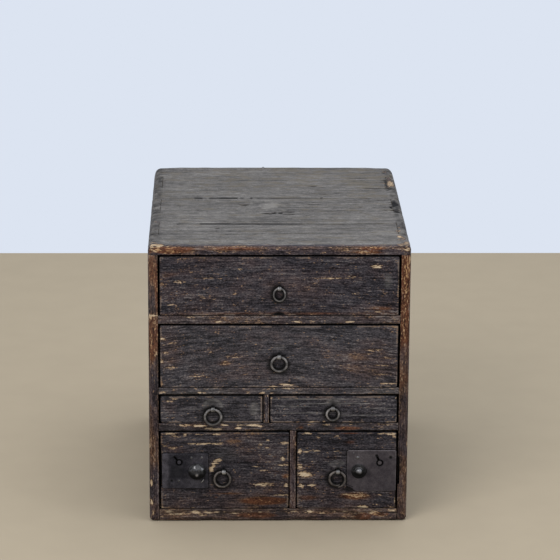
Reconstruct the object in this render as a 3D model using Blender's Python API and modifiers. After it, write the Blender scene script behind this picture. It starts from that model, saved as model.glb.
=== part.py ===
"""A small Japanese tansu chest, built board by board.

Units are metres, +Z is up and the drawers open towards -Y. The origin lies on the floor, at the centre
of the carcass's footprint. The carcass is box-jointed at its four corners, three shelves and two upright
partitions are housed in it, and six drawers run on the shelves. Each drawer has a ring pull on a split
pin, and the two lowest drawers have an iron lock whose bolt shoots into the side of the carcass.
"""

import math

import bmesh
import bpy
from mathutils import Matrix, Vector

# Carcass boards
WIDTH = 0.360
DEPTH = 0.450
SIDE_THICKNESS = 0.0135
TOP_THICKNESS = 0.012
BOTTOM_THICKNESS = 0.0185
BACK_THICKNESS = 0.008
UPPER_SHELF_THICKNESS = 0.0115
MIDDLE_SHELF_THICKNESS = 0.0092
LOWER_SHELF_THICKNESS = 0.0107
UPPER_PARTITION_THICKNESS = 0.0075
LOWER_PARTITION_THICKNESS = 0.0084

# Clear heights of the four rows of drawers, and clear widths left of the two partitions
TOP_BAY_HEIGHT = 0.0868
SECOND_BAY_HEIGHT = 0.0928
SMALL_BAY_HEIGHT = 0.0425
LOCK_BAY_HEIGHT = 0.1160
SMALL_LEFT_BAY_WIDTH = 0.1455
LOCK_LEFT_BAY_WIDTH = 0.1825

# Joinery of the carcass
FINGERS = 7
FRONT_SEAM_FINGERS = 2
FRONT_SEAM_OFFSET = -0.010
REAR_SEAM_FINGERS = 4
REAR_SEAM_OFFSET = 0.004
DADO_DEPTH = 0.004
DADO_STOP = 0.012
GROOVE_DEPTH = 0.0025
BACK_RABBET = 0.006
EDGE_RADIUS = 0.006
ROUND_SEGMENTS = 3
JOINT_GAP = 0.0003

# Drawer boards and the room they run in
FRONT_THICKNESS = 0.018
FRONT_LIP = 0.010
FRONT_EDGE_RADIUS = 0.0012
DRAWER_SIDE_THICKNESS = 0.008
DRAWER_BACK_THICKNESS = 0.008
DRAWER_BOTTOM_THICKNESS = 0.006
DRAWER_SIDE_DROP = 0.003
DRAWER_REAR_GAP = 0.014
GAP_AT_SIDE = 0.0022
GAP_AT_PARTITION = 0.0012
GAP_ABOVE = 0.0022
RUNNING_GAP = 0.0003

# Split pins that carry the rings
PIN_STRIP_THICKNESS = 0.0013
PIN_STRIP_WIDTH = 0.0056
PIN_SLIT = 0.0005
PIN_LEG_LENGTH = 0.011
PIN_HOLE_DIAMETER = 0.0070
EYE_CLEARANCE = 0.0010
EYE_POINTS = 18
RING_POINTS = 32
RING_SIDES_RESOLUTION = 3

# Locks: sheet plate, sliding bolt with its knob, and the case that guides it
PLATE_THICKNESS = 0.0012
PLATE_CORNER_CLIP = 0.0015
BOLT_DEPTH = 0.004
BOLT_THICKNESS = 0.003
BOLT_HEIGHT = 0.010
BOLT_END_INSET = 0.0005
BOLT_TAIL = 0.006
BOLT_THROW = 0.008
BOLT_DROP = 0.0005
TALON_WIDTH = 0.009
TALON_DEPTH = 0.003
STEM_DIAMETER = 0.004
CASE_THICKNESS = 0.001
CASE_GUIDE_HEIGHT = 0.002
CASE_MARGIN = 0.004
CASE_OUTER_INSET = 0.009
KEY_POST_DIAMETER = 0.0056
KEYHOLE_DIAMETER = 0.0088
KEYHOLE_SLOT_WIDTH = 0.0019
STRIKE_NOTCH_LENGTH = 0.012
END_RELIEF_LENGTH = 0.008
STRIKE_WALL = 0.0004
TURNED_STEPS = 24
DOME_STEPS = 6

# Modelling values: how far a cutter stands past what it cuts, and how meshes are welded and shaded
CUT_MARGIN = 0.002
WELD_DISTANCE = 1e-6
SHARP_ANGLE = math.radians(35)

# Places that follow from the sizes above
FRONT = -DEPTH / 2
BACK = DEPTH / 2
INNER_HALF = WIDTH / 2 - SIDE_THICKNESS
LOCK_FLOOR = BOTTOM_THICKNESS
LOCK_CEILING = LOCK_FLOOR + LOCK_BAY_HEIGHT
SMALL_FLOOR = LOCK_CEILING + LOWER_SHELF_THICKNESS
SMALL_CEILING = SMALL_FLOOR + SMALL_BAY_HEIGHT
SECOND_FLOOR = SMALL_CEILING + MIDDLE_SHELF_THICKNESS
SECOND_CEILING = SECOND_FLOOR + SECOND_BAY_HEIGHT
TOP_FLOOR = SECOND_CEILING + UPPER_SHELF_THICKNESS
TOP_CEILING = TOP_FLOOR + TOP_BAY_HEIGHT
HEIGHT = TOP_CEILING + TOP_THICKNESS
FINGER_WIDTH = DEPTH / FINGERS
BACK_FACE = BACK - BACK_THICKNESS - JOINT_GAP
DRAWER_REAR = BACK_FACE - DRAWER_REAR_GAP
SHELVES = {
    "shelf_upper": (SECOND_CEILING, TOP_FLOOR),
    "shelf_middle": (SMALL_CEILING, SECOND_FLOOR),
    "shelf_lower": (LOCK_CEILING, SMALL_FLOOR),
}
SMALL_PARTITION_LEFT = -INNER_HALF + SMALL_LEFT_BAY_WIDTH
SMALL_PARTITION_RIGHT = SMALL_PARTITION_LEFT + UPPER_PARTITION_THICKNESS
LOCK_PARTITION_LEFT = -INNER_HALF + LOCK_LEFT_BAY_WIDTH
LOCK_PARTITION_RIGHT = LOCK_PARTITION_LEFT + LOWER_PARTITION_THICKNESS
BOLT_BACK = BOLT_DEPTH + BOLT_THICKNESS
CASE_FACE = BOLT_BACK + JOINT_GAP
MORTISE_DEPTH = CASE_FACE + CASE_THICKNESS + JOINT_GAP

# Each lock: its plate, its keyhole from the drawer's outer end and centre line, and its knob.
# strike_notch is the depth of the notch worn in the side at its plate. end_relief is the depth, the
# height and the rise above the centre line of the hollow worn in the drawer's end at its plate.
LOCKS = {
    "left_lock": {
        "plate": (0.0642, 0.0512),
        "plate_from_end": 0.0022,
        "inner_clip": (0.0015, 0.0015),
        "key_from_end": 0.0260,
        "key_above_centre": 0.0128,
        "key_slot_length": 0.0110,
        "key_slot_lean": math.radians(39),
        "knob_from_end": 0.0510,
        "dome": (0.0235, 0.0078),
        "base": (0.0235, 0.0008),
        "end_relief": (0.0015, 0.056, 0.0045),
    },
    "right_lock": {
        "plate": (0.0680, 0.0600),
        "plate_from_end": 0.0003,
        "inner_clip": (0.0120, 0.0075),
        "key_from_end": 0.0230,
        "key_above_centre": 0.0116,
        "key_slot_length": 0.0125,
        "key_slot_lean": math.radians(22),
        "knob_from_end": 0.0520,
        "dome": (0.0112, 0.0050),
        "base": (0.0212, 0.0014),
        "strike_notch": 0.0025,
    },
}

# Each drawer: its bay, what bounds it, and its pull. A ring has a width, a height and a wire.
# pull_from_left is measured from the drawer's left end and pull_from_right from its right end.
# A drawer with neither has its pull at its middle.
DRAWERS = {
    "top_drawer": {
        "bay": (-INNER_HALF, INNER_HALF, TOP_FLOOR, TOP_CEILING),
        "ring": (0.0185, 0.0210, 0.0029),
        "pull_above_centre": -0.0018,
    },
    "second_drawer": {
        "bay": (-INNER_HALF, INNER_HALF, SECOND_FLOOR, SECOND_CEILING),
        "ring": (0.0250, 0.0246, 0.0040),
        "pull_above_centre": 0.0015,
    },
    "small_left_drawer": {
        "bay": (-INNER_HALF, SMALL_PARTITION_LEFT, SMALL_FLOOR, SMALL_CEILING),
        "ring": (0.0262, 0.0258, 0.0040),
        "pull_above_centre": 0.0020,
        "pull_from_left": 0.0731,
    },
    "small_right_drawer": {
        "bay": (SMALL_PARTITION_RIGHT, INNER_HALF, SMALL_FLOOR, SMALL_CEILING),
        "ring": (0.0200, 0.0206, 0.0036),
        "pull_above_centre": 0.0030,
        "pull_from_right": 0.0895,
    },
    "lock_left_drawer": {
        "bay": (-INNER_HALF, LOCK_PARTITION_LEFT, LOCK_FLOOR, LOCK_CEILING),
        "ring": (0.0255, 0.0256, 0.0037),
        "pull_above_centre": 0.0,
        "pull_from_left": 0.0882,
        "lock": "left_lock",
    },
    "lock_right_drawer": {
        "bay": (LOCK_PARTITION_RIGHT, INNER_HALF, LOCK_FLOOR, LOCK_CEILING),
        "ring": (0.0252, 0.0250, 0.0038),
        "ring_butt_gap": 0.0012,
        "pull_above_centre": 0.0,
        "pull_from_right": 0.0817,
        "lock": "right_lock",
    },
}
RING_BUTT_ANGLE = math.radians(-66)


def clear_scene():
    for obj in list(bpy.data.objects):
        bpy.data.objects.remove(obj, do_unlink=True)


def new_collection(name):
    collection = bpy.data.collections.new(name)
    bpy.context.scene.collection.children.link(collection)
    return collection


def new_material(name, colour, roughness, metallic):
    material = bpy.data.materials.new(name)
    material.use_nodes = True
    shader = material.node_tree.nodes["Principled BSDF"]
    shader.inputs["Base Color"].default_value = (*colour, 1.0)
    shader.inputs["Roughness"].default_value = roughness
    shader.inputs["Metallic"].default_value = metallic
    return material


clear_scene()
CHEST = new_collection("tansu_chest")
CUTTERS = new_collection("cutters")
LACQUERED_WOOD = new_material("lacquered_wood", (0.030, 0.026, 0.027), 0.62, 0.0)
WEATHERED_WOOD = new_material("weathered_wood", (0.140, 0.135, 0.125), 0.85, 0.0)
BARE_WOOD = new_material("bare_wood", (0.250, 0.170, 0.100), 0.80, 0.0)
FORGED_IRON = new_material("forged_iron", (0.120, 0.115, 0.115), 0.50, 0.9)
BLACK_IRON = new_material("black_iron", (0.040, 0.040, 0.045), 0.55, 0.8)


def box_mesh(name, boxes, origin):
    """One mesh of closed boxes, each given by its lowest and highest corners, measured from origin."""
    mesh = bpy.data.meshes.new(name)
    shape = bmesh.new()
    for low, high in boxes:
        size = Vector(high) - Vector(low)
        middle = (Vector(low) + Vector(high)) / 2 - Vector(origin)
        corners = bmesh.ops.create_cube(shape, size=1.0)["verts"]
        bmesh.ops.scale(shape, vec=size, verts=corners)
        bmesh.ops.translate(shape, vec=middle, verts=corners)
    shape.to_mesh(mesh)
    shape.free()
    return mesh


def place(obj, origin, parent):
    """Puts an object's origin at a point of the chest's frame, under an unrotated parent."""
    obj.parent = parent
    obj.location = Vector(origin) - (parent.location if parent else Vector())


def add_board(name, low, high, material, parent=None):
    middle = (Vector(low) + Vector(high)) / 2
    mesh = box_mesh(name, [(low, high)], middle)
    mesh.materials.append(material)
    board = bpy.data.objects.new(name, mesh)
    CHEST.objects.link(board)
    place(board, middle, parent)
    return board


def add_cutter(name, mesh, origin, parent):
    cutter = bpy.data.objects.new(name, mesh)
    cutter.hide_render = True
    cutter.display_type = "WIRE"
    CUTTERS.objects.link(cutter)
    place(cutter, origin, parent)
    return cutter


def add_boolean(target, cutter, operation):
    modifier = target.modifiers.new(cutter.name, "BOOLEAN")
    modifier.operation = operation
    modifier.object = cutter
    return modifier


def cut_boxes(target, label, boxes):
    """Cuts boxes that lie apart from each other out of a board."""
    name = f"{target.name}_{label}"
    low = Vector(boxes[0][0])
    cutter = add_cutter(name, box_mesh(name, boxes, low), low, target.parent)
    add_boolean(target, cutter, "DIFFERENCE")


def round_edges(target, radius, segments):
    bevel = target.modifiers.new("worn_edges", "BEVEL")
    bevel.width = radius
    bevel.segments = segments


def add_curve(name, points, plane, closed, material, origin, parent):
    """A curve of straight runs through points; plane is 2D for a flat outline and 3D for a wire."""
    curve = bpy.data.curves.new(name, "CURVE")
    curve.dimensions = plane
    spline = curve.splines.new("POLY")
    spline.points.add(len(points) - 1)
    for point, place_of_point in zip(spline.points, points):
        point.co = (*place_of_point, 1.0)
    spline.use_cyclic_u = closed
    if material:
        curve.materials.append(material)
    obj = bpy.data.objects.new(name, curve)
    CHEST.objects.link(obj)
    place(obj, origin, parent)
    return obj


def take_mesh(obj):
    """Replaces a curve or a modified object by its welded mesh, so that Booleans can use it."""
    bpy.context.view_layer.update()
    graph = bpy.context.evaluated_depsgraph_get()
    mesh = bpy.data.meshes.new_from_object(obj.evaluated_get(graph))
    bpy.data.objects.remove(obj, do_unlink=True)
    shape = bmesh.new()
    shape.from_mesh(mesh)
    bmesh.ops.remove_doubles(shape, verts=shape.verts, dist=WELD_DISTANCE)
    bmesh.ops.recalc_face_normals(shape, faces=shape.faces)
    shape.to_mesh(mesh)
    shape.free()
    return mesh


def flat_mesh(name, outline, thickness):
    """The mesh of a flat piece: an outline in X and Z, with half its thickness either side of Y zero."""
    points = [(x, z, 0.0) for x, z in outline]
    flat = add_curve(name, points, "2D", True, None, (0.0, 0.0, 0.0), None)
    flat.data.fill_mode = "BOTH"
    flat.data.extrude = thickness / 2
    mesh = take_mesh(flat)
    mesh.transform(Matrix.Rotation(math.pi / 2, 4, "X"))
    return mesh


def bar_mesh(name, diameter, start, end):
    """The mesh of a round bar along Y, between two distances behind its origin."""
    mesh = bpy.data.meshes.new(name)
    shape = bmesh.new()
    radius = diameter / 2
    bmesh.ops.create_cone(
        shape, cap_ends=True, segments=TURNED_STEPS, radius1=radius, radius2=radius, depth=end - start
    )
    bmesh.ops.rotate(shape, matrix=Matrix.Rotation(math.pi / 2, 3, "X"), verts=shape.verts)
    bmesh.ops.translate(shape, vec=(0.0, (start + end) / 2, 0.0), verts=shape.verts)
    shape.to_mesh(mesh)
    shape.free()
    return mesh


def turned_mesh(name, profile):
    """The mesh of a solid turned about the Y axis, from (radius, distance behind its origin) points."""
    mesh = bpy.data.meshes.new(name)
    shape = bmesh.new()
    corners = [shape.verts.new((radius, behind, 0.0)) for radius, behind in profile]
    for first, second in zip(corners, corners[1:]):
        shape.edges.new((first, second))
    shape.to_mesh(mesh)
    shape.free()
    obj = bpy.data.objects.new(name, mesh)
    CHEST.objects.link(obj)
    screw = obj.modifiers.new("turning", "SCREW")
    screw.axis = "Y"
    screw.steps = TURNED_STEPS
    screw.render_steps = TURNED_STEPS
    screw.use_merge_vertices = True
    screw.merge_threshold = WELD_DISTANCE
    solid = take_mesh(obj)
    solid.shade_smooth()
    solid.set_sharp_from_angle(angle=SHARP_ANGLE)
    return solid


def finger_spans(first):
    """Front and rear ends of every second finger along the depth, starting with finger number first."""
    spans = []
    for number in range(first, FINGERS, 2):
        spans.append((FRONT + number * FINGER_WIDTH, FRONT + (number + 1) * FINGER_WIDTH))
    return spans


def worn_envelope():
    """The carcass's outer form with its worn, rounded edges. Every outer board is trimmed to it."""
    low = (-WIDTH / 2, FRONT, 0.0)
    high = (WIDTH / 2, BACK, HEIGHT)
    middle = (Vector(low) + Vector(high)) / 2
    mesh = box_mesh("worn_envelope", [(low, high)], middle)
    envelope = add_cutter("worn_envelope", mesh, middle, None)
    round_edges(envelope, EDGE_RADIUS, ROUND_SEGMENTS)
    return envelope


def end_notches(spans, low_z, high_z):
    """Boxes that cut the spans out of both ends of a top or bottom board, for the sides' fingers."""
    boxes = []
    for start, end in spans:
        for sign in (-1, 1):
            ends = sorted((sign * (INNER_HALF - JOINT_GAP), sign * (WIDTH / 2 + 2 * CUT_MARGIN)))
            low = (ends[0], start - JOINT_GAP, low_z - 2 * CUT_MARGIN)
            high = (ends[1], end + JOINT_GAP, high_z + 2 * CUT_MARGIN)
            boxes.append((low, high))
    return boxes


def build_top(envelope):
    """Three planks edge to edge. Their ends are cut into the fingers of the upper corner joints."""
    front_seam = FRONT + FRONT_SEAM_FINGERS * FINGER_WIDTH + FRONT_SEAM_OFFSET
    rear_seam = FRONT + REAR_SEAM_FINGERS * FINGER_WIDTH + REAR_SEAM_OFFSET
    half_gap = JOINT_GAP / 2
    planks = {
        "top_plank_front": (FRONT - CUT_MARGIN, front_seam - half_gap),
        "top_plank_middle": (front_seam + half_gap, rear_seam - half_gap),
        "top_plank_back": (rear_seam + half_gap, BACK + CUT_MARGIN),
    }
    for name, (start, end) in planks.items():
        low = (-WIDTH / 2 - CUT_MARGIN, start, HEIGHT - TOP_THICKNESS)
        high = (WIDTH / 2 + CUT_MARGIN, end, HEIGHT + CUT_MARGIN)
        plank = add_board(name, low, high, WEATHERED_WOOD)
        spans = []
        for span in finger_spans(1):
            if span[0] < end - JOINT_GAP and span[1] > start + JOINT_GAP:
                spans.append(span)
        cut_boxes(plank, "fingers", end_notches(spans, HEIGHT - TOP_THICKNESS, HEIGHT))
        add_boolean(plank, envelope, "INTERSECT")


def build_bottom(envelope):
    """The bottom board, whose fingers pass through the sides, with a stopped groove for the partition."""
    low = (-WIDTH / 2 - CUT_MARGIN, FRONT - CUT_MARGIN, -CUT_MARGIN)
    high = (WIDTH / 2 + CUT_MARGIN, BACK + CUT_MARGIN, BOTTOM_THICKNESS)
    bottom = add_board("bottom_board", low, high, LACQUERED_WOOD)
    cut_boxes(bottom, "fingers", end_notches(finger_spans(0), 0.0, BOTTOM_THICKNESS))
    groove = partition_groove(LOCK_PARTITION_LEFT, LOCK_PARTITION_RIGHT, LOCK_FLOOR, -1)
    cut_boxes(bottom, "groove", [groove])
    add_boolean(bottom, envelope, "INTERSECT")


def build_side(name, sign, envelope):
    """A side board with fingers above and below, housings for the shelves and a rabbet for the back."""
    outer = sign * (WIDTH / 2 + CUT_MARGIN)
    inner = sign * INNER_HALF
    low = (min(outer, inner), FRONT - CUT_MARGIN, -CUT_MARGIN)
    high = (max(outer, inner), BACK + CUT_MARGIN, HEIGHT + CUT_MARGIN)
    side = add_board(name, low, high, LACQUERED_WOOD)

    across = sorted((sign * (INNER_HALF - CUT_MARGIN), sign * (WIDTH / 2 + 2 * CUT_MARGIN)))
    notches = []
    for spans, low_z, high_z in (
        (finger_spans(0), HEIGHT - TOP_THICKNESS - JOINT_GAP, HEIGHT + 2 * CUT_MARGIN),
        (finger_spans(1), -2 * CUT_MARGIN, BOTTOM_THICKNESS + JOINT_GAP),
    ):
        for start, end in spans:
            start = start - 2 * CUT_MARGIN if start <= FRONT else start
            end = end + 2 * CUT_MARGIN if end >= BACK - JOINT_GAP else end
            notches.append(((across[0], start, low_z), (across[1], end, high_z)))
    cut_boxes(side, "fingers", notches)

    housing = sorted((sign * (INNER_HALF - CUT_MARGIN), sign * (INNER_HALF + DADO_DEPTH)))
    dados = []
    for low_z, high_z in SHELVES.values():
        low = (housing[0], FRONT + DADO_STOP - JOINT_GAP, low_z - JOINT_GAP)
        high = (housing[1], BACK_FACE + JOINT_GAP, high_z + JOINT_GAP)
        dados.append((low, high))
    cut_boxes(side, "dados", dados)

    rabbet = sorted((sign * (INNER_HALF - CUT_MARGIN), sign * (INNER_HALF + BACK_RABBET)))
    low = (rabbet[0], BACK_FACE, BOTTOM_THICKNESS)
    high = (rabbet[1], BACK + 2 * CUT_MARGIN, HEIGHT - TOP_THICKNESS)
    cut_boxes(side, "rabbet", [(low, high)])
    add_boolean(side, envelope, "INTERSECT")
    return side


def cut_strike(side, sign, lock):
    """The hole in the side that takes a lock bolt, and the shallow notch at the side's front edge."""
    centre = bolt_height()
    reach = BOLT_THROW - bolt_inset(lock) - GAP_AT_SIDE + STRIKE_WALL
    half_hole = BOLT_HEIGHT / 2 + STRIKE_WALL
    if "strike_notch" in lock:
        half_notch = lock["plate"][1] / 3
        notch = sorted((sign * (INNER_HALF - CUT_MARGIN), sign * (INNER_HALF + lock["strike_notch"])))
        low = (notch[0], FRONT - CUT_MARGIN, centre - half_notch)
        high = (notch[1], FRONT + STRIKE_NOTCH_LENGTH, centre + half_notch)
        cut_boxes(side, "strike_notch", [(low, high)])
    hole = sorted((sign * (INNER_HALF - CUT_MARGIN), sign * (INNER_HALF + reach)))
    low = (hole[0], FRONT + BOLT_DEPTH - STRIKE_WALL, centre - half_hole)
    high = (hole[1], FRONT + BOLT_BACK + STRIKE_WALL, centre + half_hole)
    cut_boxes(side, "strike_hole", [(low, high)])


def partition_groove(left, right, face, direction):
    """A stopped groove for a partition's tongue, cut up (+1) or down (-1) from a horizontal face."""
    ends = sorted((face - direction * CUT_MARGIN, face + direction * GROOVE_DEPTH))
    low = (left - JOINT_GAP, FRONT + DADO_STOP - JOINT_GAP, ends[0])
    high = (right + JOINT_GAP, BACK + 2 * CUT_MARGIN, ends[1])
    return low, high


def build_shelf(name, low_z, high_z, grooves):
    """A shelf the full depth of the chest. Its ends sit in the sides, behind notched front corners."""
    half = INNER_HALF + DADO_DEPTH - JOINT_GAP
    shelf = add_board(name, (-half, FRONT, low_z), (half, BACK_FACE, high_z), LACQUERED_WOOD)
    shoulder = INNER_HALF - JOINT_GAP
    corners = []
    for sign in (-1, 1):
        across = sorted((sign * shoulder, sign * (half + CUT_MARGIN)))
        low = (across[0], FRONT - CUT_MARGIN, low_z - CUT_MARGIN)
        high = (across[1], FRONT + DADO_STOP, high_z + CUT_MARGIN)
        corners.append((low, high))
    cut_boxes(shelf, "shoulders", corners)
    for label, groove in grooves.items():
        cut_boxes(shelf, label, [groove])


def build_partition(name, left, right, floor, ceiling):
    """An upright between two drawers, tongued into the boards above and below it."""
    tongue = GROOVE_DEPTH - JOINT_GAP
    low = (left, FRONT, floor - tongue)
    high = (right, BACK_FACE, ceiling + tongue)
    partition = add_board(name, low, high, LACQUERED_WOOD)
    corners = []
    for ends in (
        (floor - GROOVE_DEPTH - CUT_MARGIN, floor + JOINT_GAP),
        (ceiling - JOINT_GAP, ceiling + GROOVE_DEPTH + CUT_MARGIN),
    ):
        low = (left - CUT_MARGIN, FRONT - CUT_MARGIN, ends[0])
        high = (right + CUT_MARGIN, FRONT + DADO_STOP, ends[1])
        corners.append((low, high))
    cut_boxes(partition, "shoulders", corners)


def build_carcass():
    envelope = worn_envelope()
    build_top(envelope)
    build_bottom(envelope)
    for name, sign, lock in (("side_left", -1, "left_lock"), ("side_right", 1, "right_lock")):
        side = build_side(name, sign, envelope)
        cut_strike(side, sign, LOCKS[lock])

    small = (SMALL_PARTITION_LEFT, SMALL_PARTITION_RIGHT)
    large = (LOCK_PARTITION_LEFT, LOCK_PARTITION_RIGHT)
    grooves = {
        "shelf_upper": {},
        "shelf_middle": {"groove_below": partition_groove(*small, SMALL_CEILING, 1)},
        "shelf_lower": {
            "groove_above": partition_groove(*small, SMALL_FLOOR, -1),
            "groove_below": partition_groove(*large, LOCK_CEILING, 1),
        },
    }
    for name, (low_z, high_z) in SHELVES.items():
        build_shelf(name, low_z, high_z, grooves[name])
    build_partition("partition_upper", *small, SMALL_FLOOR, SMALL_CEILING)
    build_partition("partition_lower", *large, LOCK_FLOOR, LOCK_CEILING)

    half = INNER_HALF + BACK_RABBET - JOINT_GAP
    low = (-half, BACK - BACK_THICKNESS, BOTTOM_THICKNESS + JOINT_GAP)
    high = (half, BACK, HEIGHT - TOP_THICKNESS - JOINT_GAP)
    add_board("back_panel", low, high, BARE_WOOD)


def drawer_box(bay):
    """A drawer's left and right ends, its underside and its top edge, inside its bay."""
    left, right, floor, ceiling = bay
    left += GAP_AT_SIDE if left <= -INNER_HALF else GAP_AT_PARTITION
    right -= GAP_AT_SIDE if right >= INNER_HALF else GAP_AT_PARTITION
    return left, right, floor + RUNNING_GAP, ceiling - GAP_ABOVE


def bolt_height():
    """Height of both lock bolts' centre line, a little below the middle of their drawers."""
    _, _, low, high = drawer_box(DRAWERS["lock_left_drawer"]["bay"])
    return (low + high) / 2 - BOLT_DROP


def bolt_inset(lock):
    """How far a drawn bolt's end lies inside its drawer's end, behind any hollow worn there."""
    return BOLT_END_INSET + lock.get("end_relief", (0.0,))[0]


def build_front(name, box, empty):
    """A drawer front, rabbeted behind its lip for the drawer's sides and its bottom."""
    left, right, low_z, high_z = box
    low = (left, FRONT, low_z)
    high = (right, FRONT + FRONT_THICKNESS, high_z)
    front = add_board(f"{name}_front", low, high, LACQUERED_WOOD, empty)
    round_edges(front, FRONT_EDGE_RADIUS, 1)
    behind = (FRONT + FRONT_LIP, FRONT + FRONT_THICKNESS + CUT_MARGIN)
    step = DRAWER_SIDE_THICKNESS + JOINT_GAP
    ends = []
    for start, end in ((left - CUT_MARGIN, left + step), (right - step, right + CUT_MARGIN)):
        low = (start, behind[0], low_z - CUT_MARGIN)
        high = (end, behind[1], high_z + CUT_MARGIN)
        ends.append((low, high))
    cut_boxes(front, "end_rabbets", ends)
    low = (left - CUT_MARGIN, behind[0], low_z - CUT_MARGIN)
    high = (right + CUT_MARGIN, behind[1], low_z + DRAWER_BOTTOM_THICKNESS + JOINT_GAP)
    cut_boxes(front, "bottom_rabbet", [(low, high)])
    return front


def build_tray(name, box, empty):
    """The drawer's two sides and back, standing on its bottom board."""
    left, right, low_z, high_z = box
    start = FRONT + FRONT_LIP + JOINT_GAP
    wall_low = low_z + DRAWER_BOTTOM_THICKNESS + JOINT_GAP
    wall_high = high_z - DRAWER_SIDE_DROP
    inner_left = left + DRAWER_SIDE_THICKNESS
    inner_right = right - DRAWER_SIDE_THICKNESS
    back_start = DRAWER_REAR - DRAWER_BACK_THICKNESS
    boards = {
        "side_left": ((left, start, wall_low), (inner_left, DRAWER_REAR, wall_high)),
        "side_right": ((inner_right, start, wall_low), (right, DRAWER_REAR, wall_high)),
        "back": (
            (inner_left + JOINT_GAP, back_start, wall_low),
            (inner_right - JOINT_GAP, DRAWER_REAR, wall_high),
        ),
        "bottom": ((left, start, low_z), (right, DRAWER_REAR, low_z + DRAWER_BOTTOM_THICKNESS)),
    }
    for part, (low, high) in boards.items():
        add_board(f"{name}_{part}", low, high, BARE_WOOD, empty)


def offset_outline(path, thickness):
    """The closed outline of a strip of even thickness whose centre line is path, with mitred bends."""
    sides = ([], [])
    for index, point in enumerate(path):
        before = path[max(index - 1, 0)]
        after = path[min(index + 1, len(path) - 1)]
        incoming = (Vector(point) - Vector(before)) if index else Vector(after) - Vector(point)
        outgoing = (Vector(after) - Vector(point)) if index < len(path) - 1 else incoming
        mean = (incoming.normalized() + outgoing.normalized()).normalized()
        normal = Vector((-mean.y, mean.x))
        stretch = 1 / max(0.5, mean.dot(outgoing.normalized()))
        shift = normal * (thickness / 2 * stretch)
        sides[0].append(Vector(point) + shift)
        sides[1].append(Vector(point) - shift)
    return sides[0] + sides[1][::-1]


def pin_path(eye_radius, eye_distance):
    """Centre line of a split pin in (distance in front of the drawer, height) from its hole's middle."""
    leg = (PIN_STRIP_THICKNESS + PIN_SLIT) / 2
    rear = -FRONT_THICKNESS - JOINT_GAP - PIN_STRIP_THICKNESS / 2
    middle_radius = eye_radius + PIN_STRIP_THICKNESS / 2
    opening = math.asin(leg / middle_radius)
    path = [(rear, leg + PIN_LEG_LENGTH), (rear, leg)]
    for step in range(EYE_POINTS + 1):
        angle = math.pi - opening - step * (2 * math.pi - 2 * opening) / EYE_POINTS
        across = eye_distance + middle_radius * math.cos(angle)
        path.append((across, middle_radius * math.sin(angle)))
    path += [(rear, -leg), (rear, -leg - PIN_LEG_LENGTH)]
    return path


def build_pull(name, spec, box, front, empty):
    """The ring pull: a split pin through the drawer front, clinched behind it, and a ring in its eye."""
    left, right, low_z, high_z = box
    ring_width, ring_height, wire = spec["ring"]
    x = (left + right) / 2
    if "pull_from_left" in spec:
        x = left + spec["pull_from_left"]
    if "pull_from_right" in spec:
        x = right - spec["pull_from_right"]
    z = (low_z + high_z) / 2 + spec["pull_above_centre"]
    eye_radius = wire / 2 + EYE_CLEARANCE
    eye_distance = eye_radius + PIN_STRIP_THICKNESS + JOINT_GAP

    hole = bar_mesh(f"{name}_pin_hole", PIN_HOLE_DIAMETER, -CUT_MARGIN, FRONT_THICKNESS + CUT_MARGIN)
    add_boolean(front, add_cutter(f"{name}_pin_hole", hole, (x, FRONT, z), empty), "DIFFERENCE")

    outline = offset_outline(pin_path(eye_radius, eye_distance), PIN_STRIP_THICKNESS)
    points = [(point.x, point.y, 0.0) for point in outline]
    pin = add_curve(f"{name}_pin", points, "2D", True, FORGED_IRON, (x, FRONT, z), empty)
    pin.data.fill_mode = "BOTH"
    pin.data.extrude = PIN_STRIP_WIDTH / 2
    pin.rotation_euler = (math.pi / 2, 0.0, -math.pi / 2)

    across = (ring_width - wire) / 2
    down = (ring_height - wire) / 2
    sag_in_eye = (PIN_STRIP_WIDTH / 2) ** 2 * down / (2 * across**2)
    seat = EYE_CLEARANCE - JOINT_GAP - sag_in_eye
    gap = spec.get("ring_butt_gap", 0.0)
    gap_angle = gap / ((across + down) / 2)
    steps = RING_POINTS if not gap else RING_POINTS - 1
    ring_points = []
    for step in range(RING_POINTS):
        angle = RING_BUTT_ANGLE + gap_angle / 2 + step * (2 * math.pi - gap_angle) / steps
        ring_points.append((across * math.cos(angle), 0.0, down * math.sin(angle) - down))
    origin = (x, FRONT - eye_distance, z - seat)
    ring = add_curve(f"{name}_ring", ring_points, "3D", not gap, FORGED_IRON, origin, empty)
    ring.data.bevel_depth = wire / 2
    ring.data.bevel_resolution = RING_SIDES_RESOLUTION
    ring.data.use_fill_caps = True


def plate_outline(lock, low, high, sign):
    """A plate's outline in X and Z: a rectangle with its corners clipped, the lower inner one the most."""
    small = (PLATE_CORNER_CLIP, PLATE_CORNER_CLIP)
    inner = low[0] if sign > 0 else high[0]
    corners = ((low[0], low[1]), (high[0], low[1]), (high[0], high[1]), (low[0], high[1]))
    points = []
    for number, (x, z) in enumerate(corners):
        clip_x, clip_z = lock["inner_clip"] if x == inner and z == low[1] else small
        inward = (x + (clip_x if x == low[0] else -clip_x), z)
        upright = (x, z + (clip_z if z == low[1] else -clip_z))
        points += [upright, inward] if number % 2 == 0 else [inward, upright]
    return points


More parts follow.
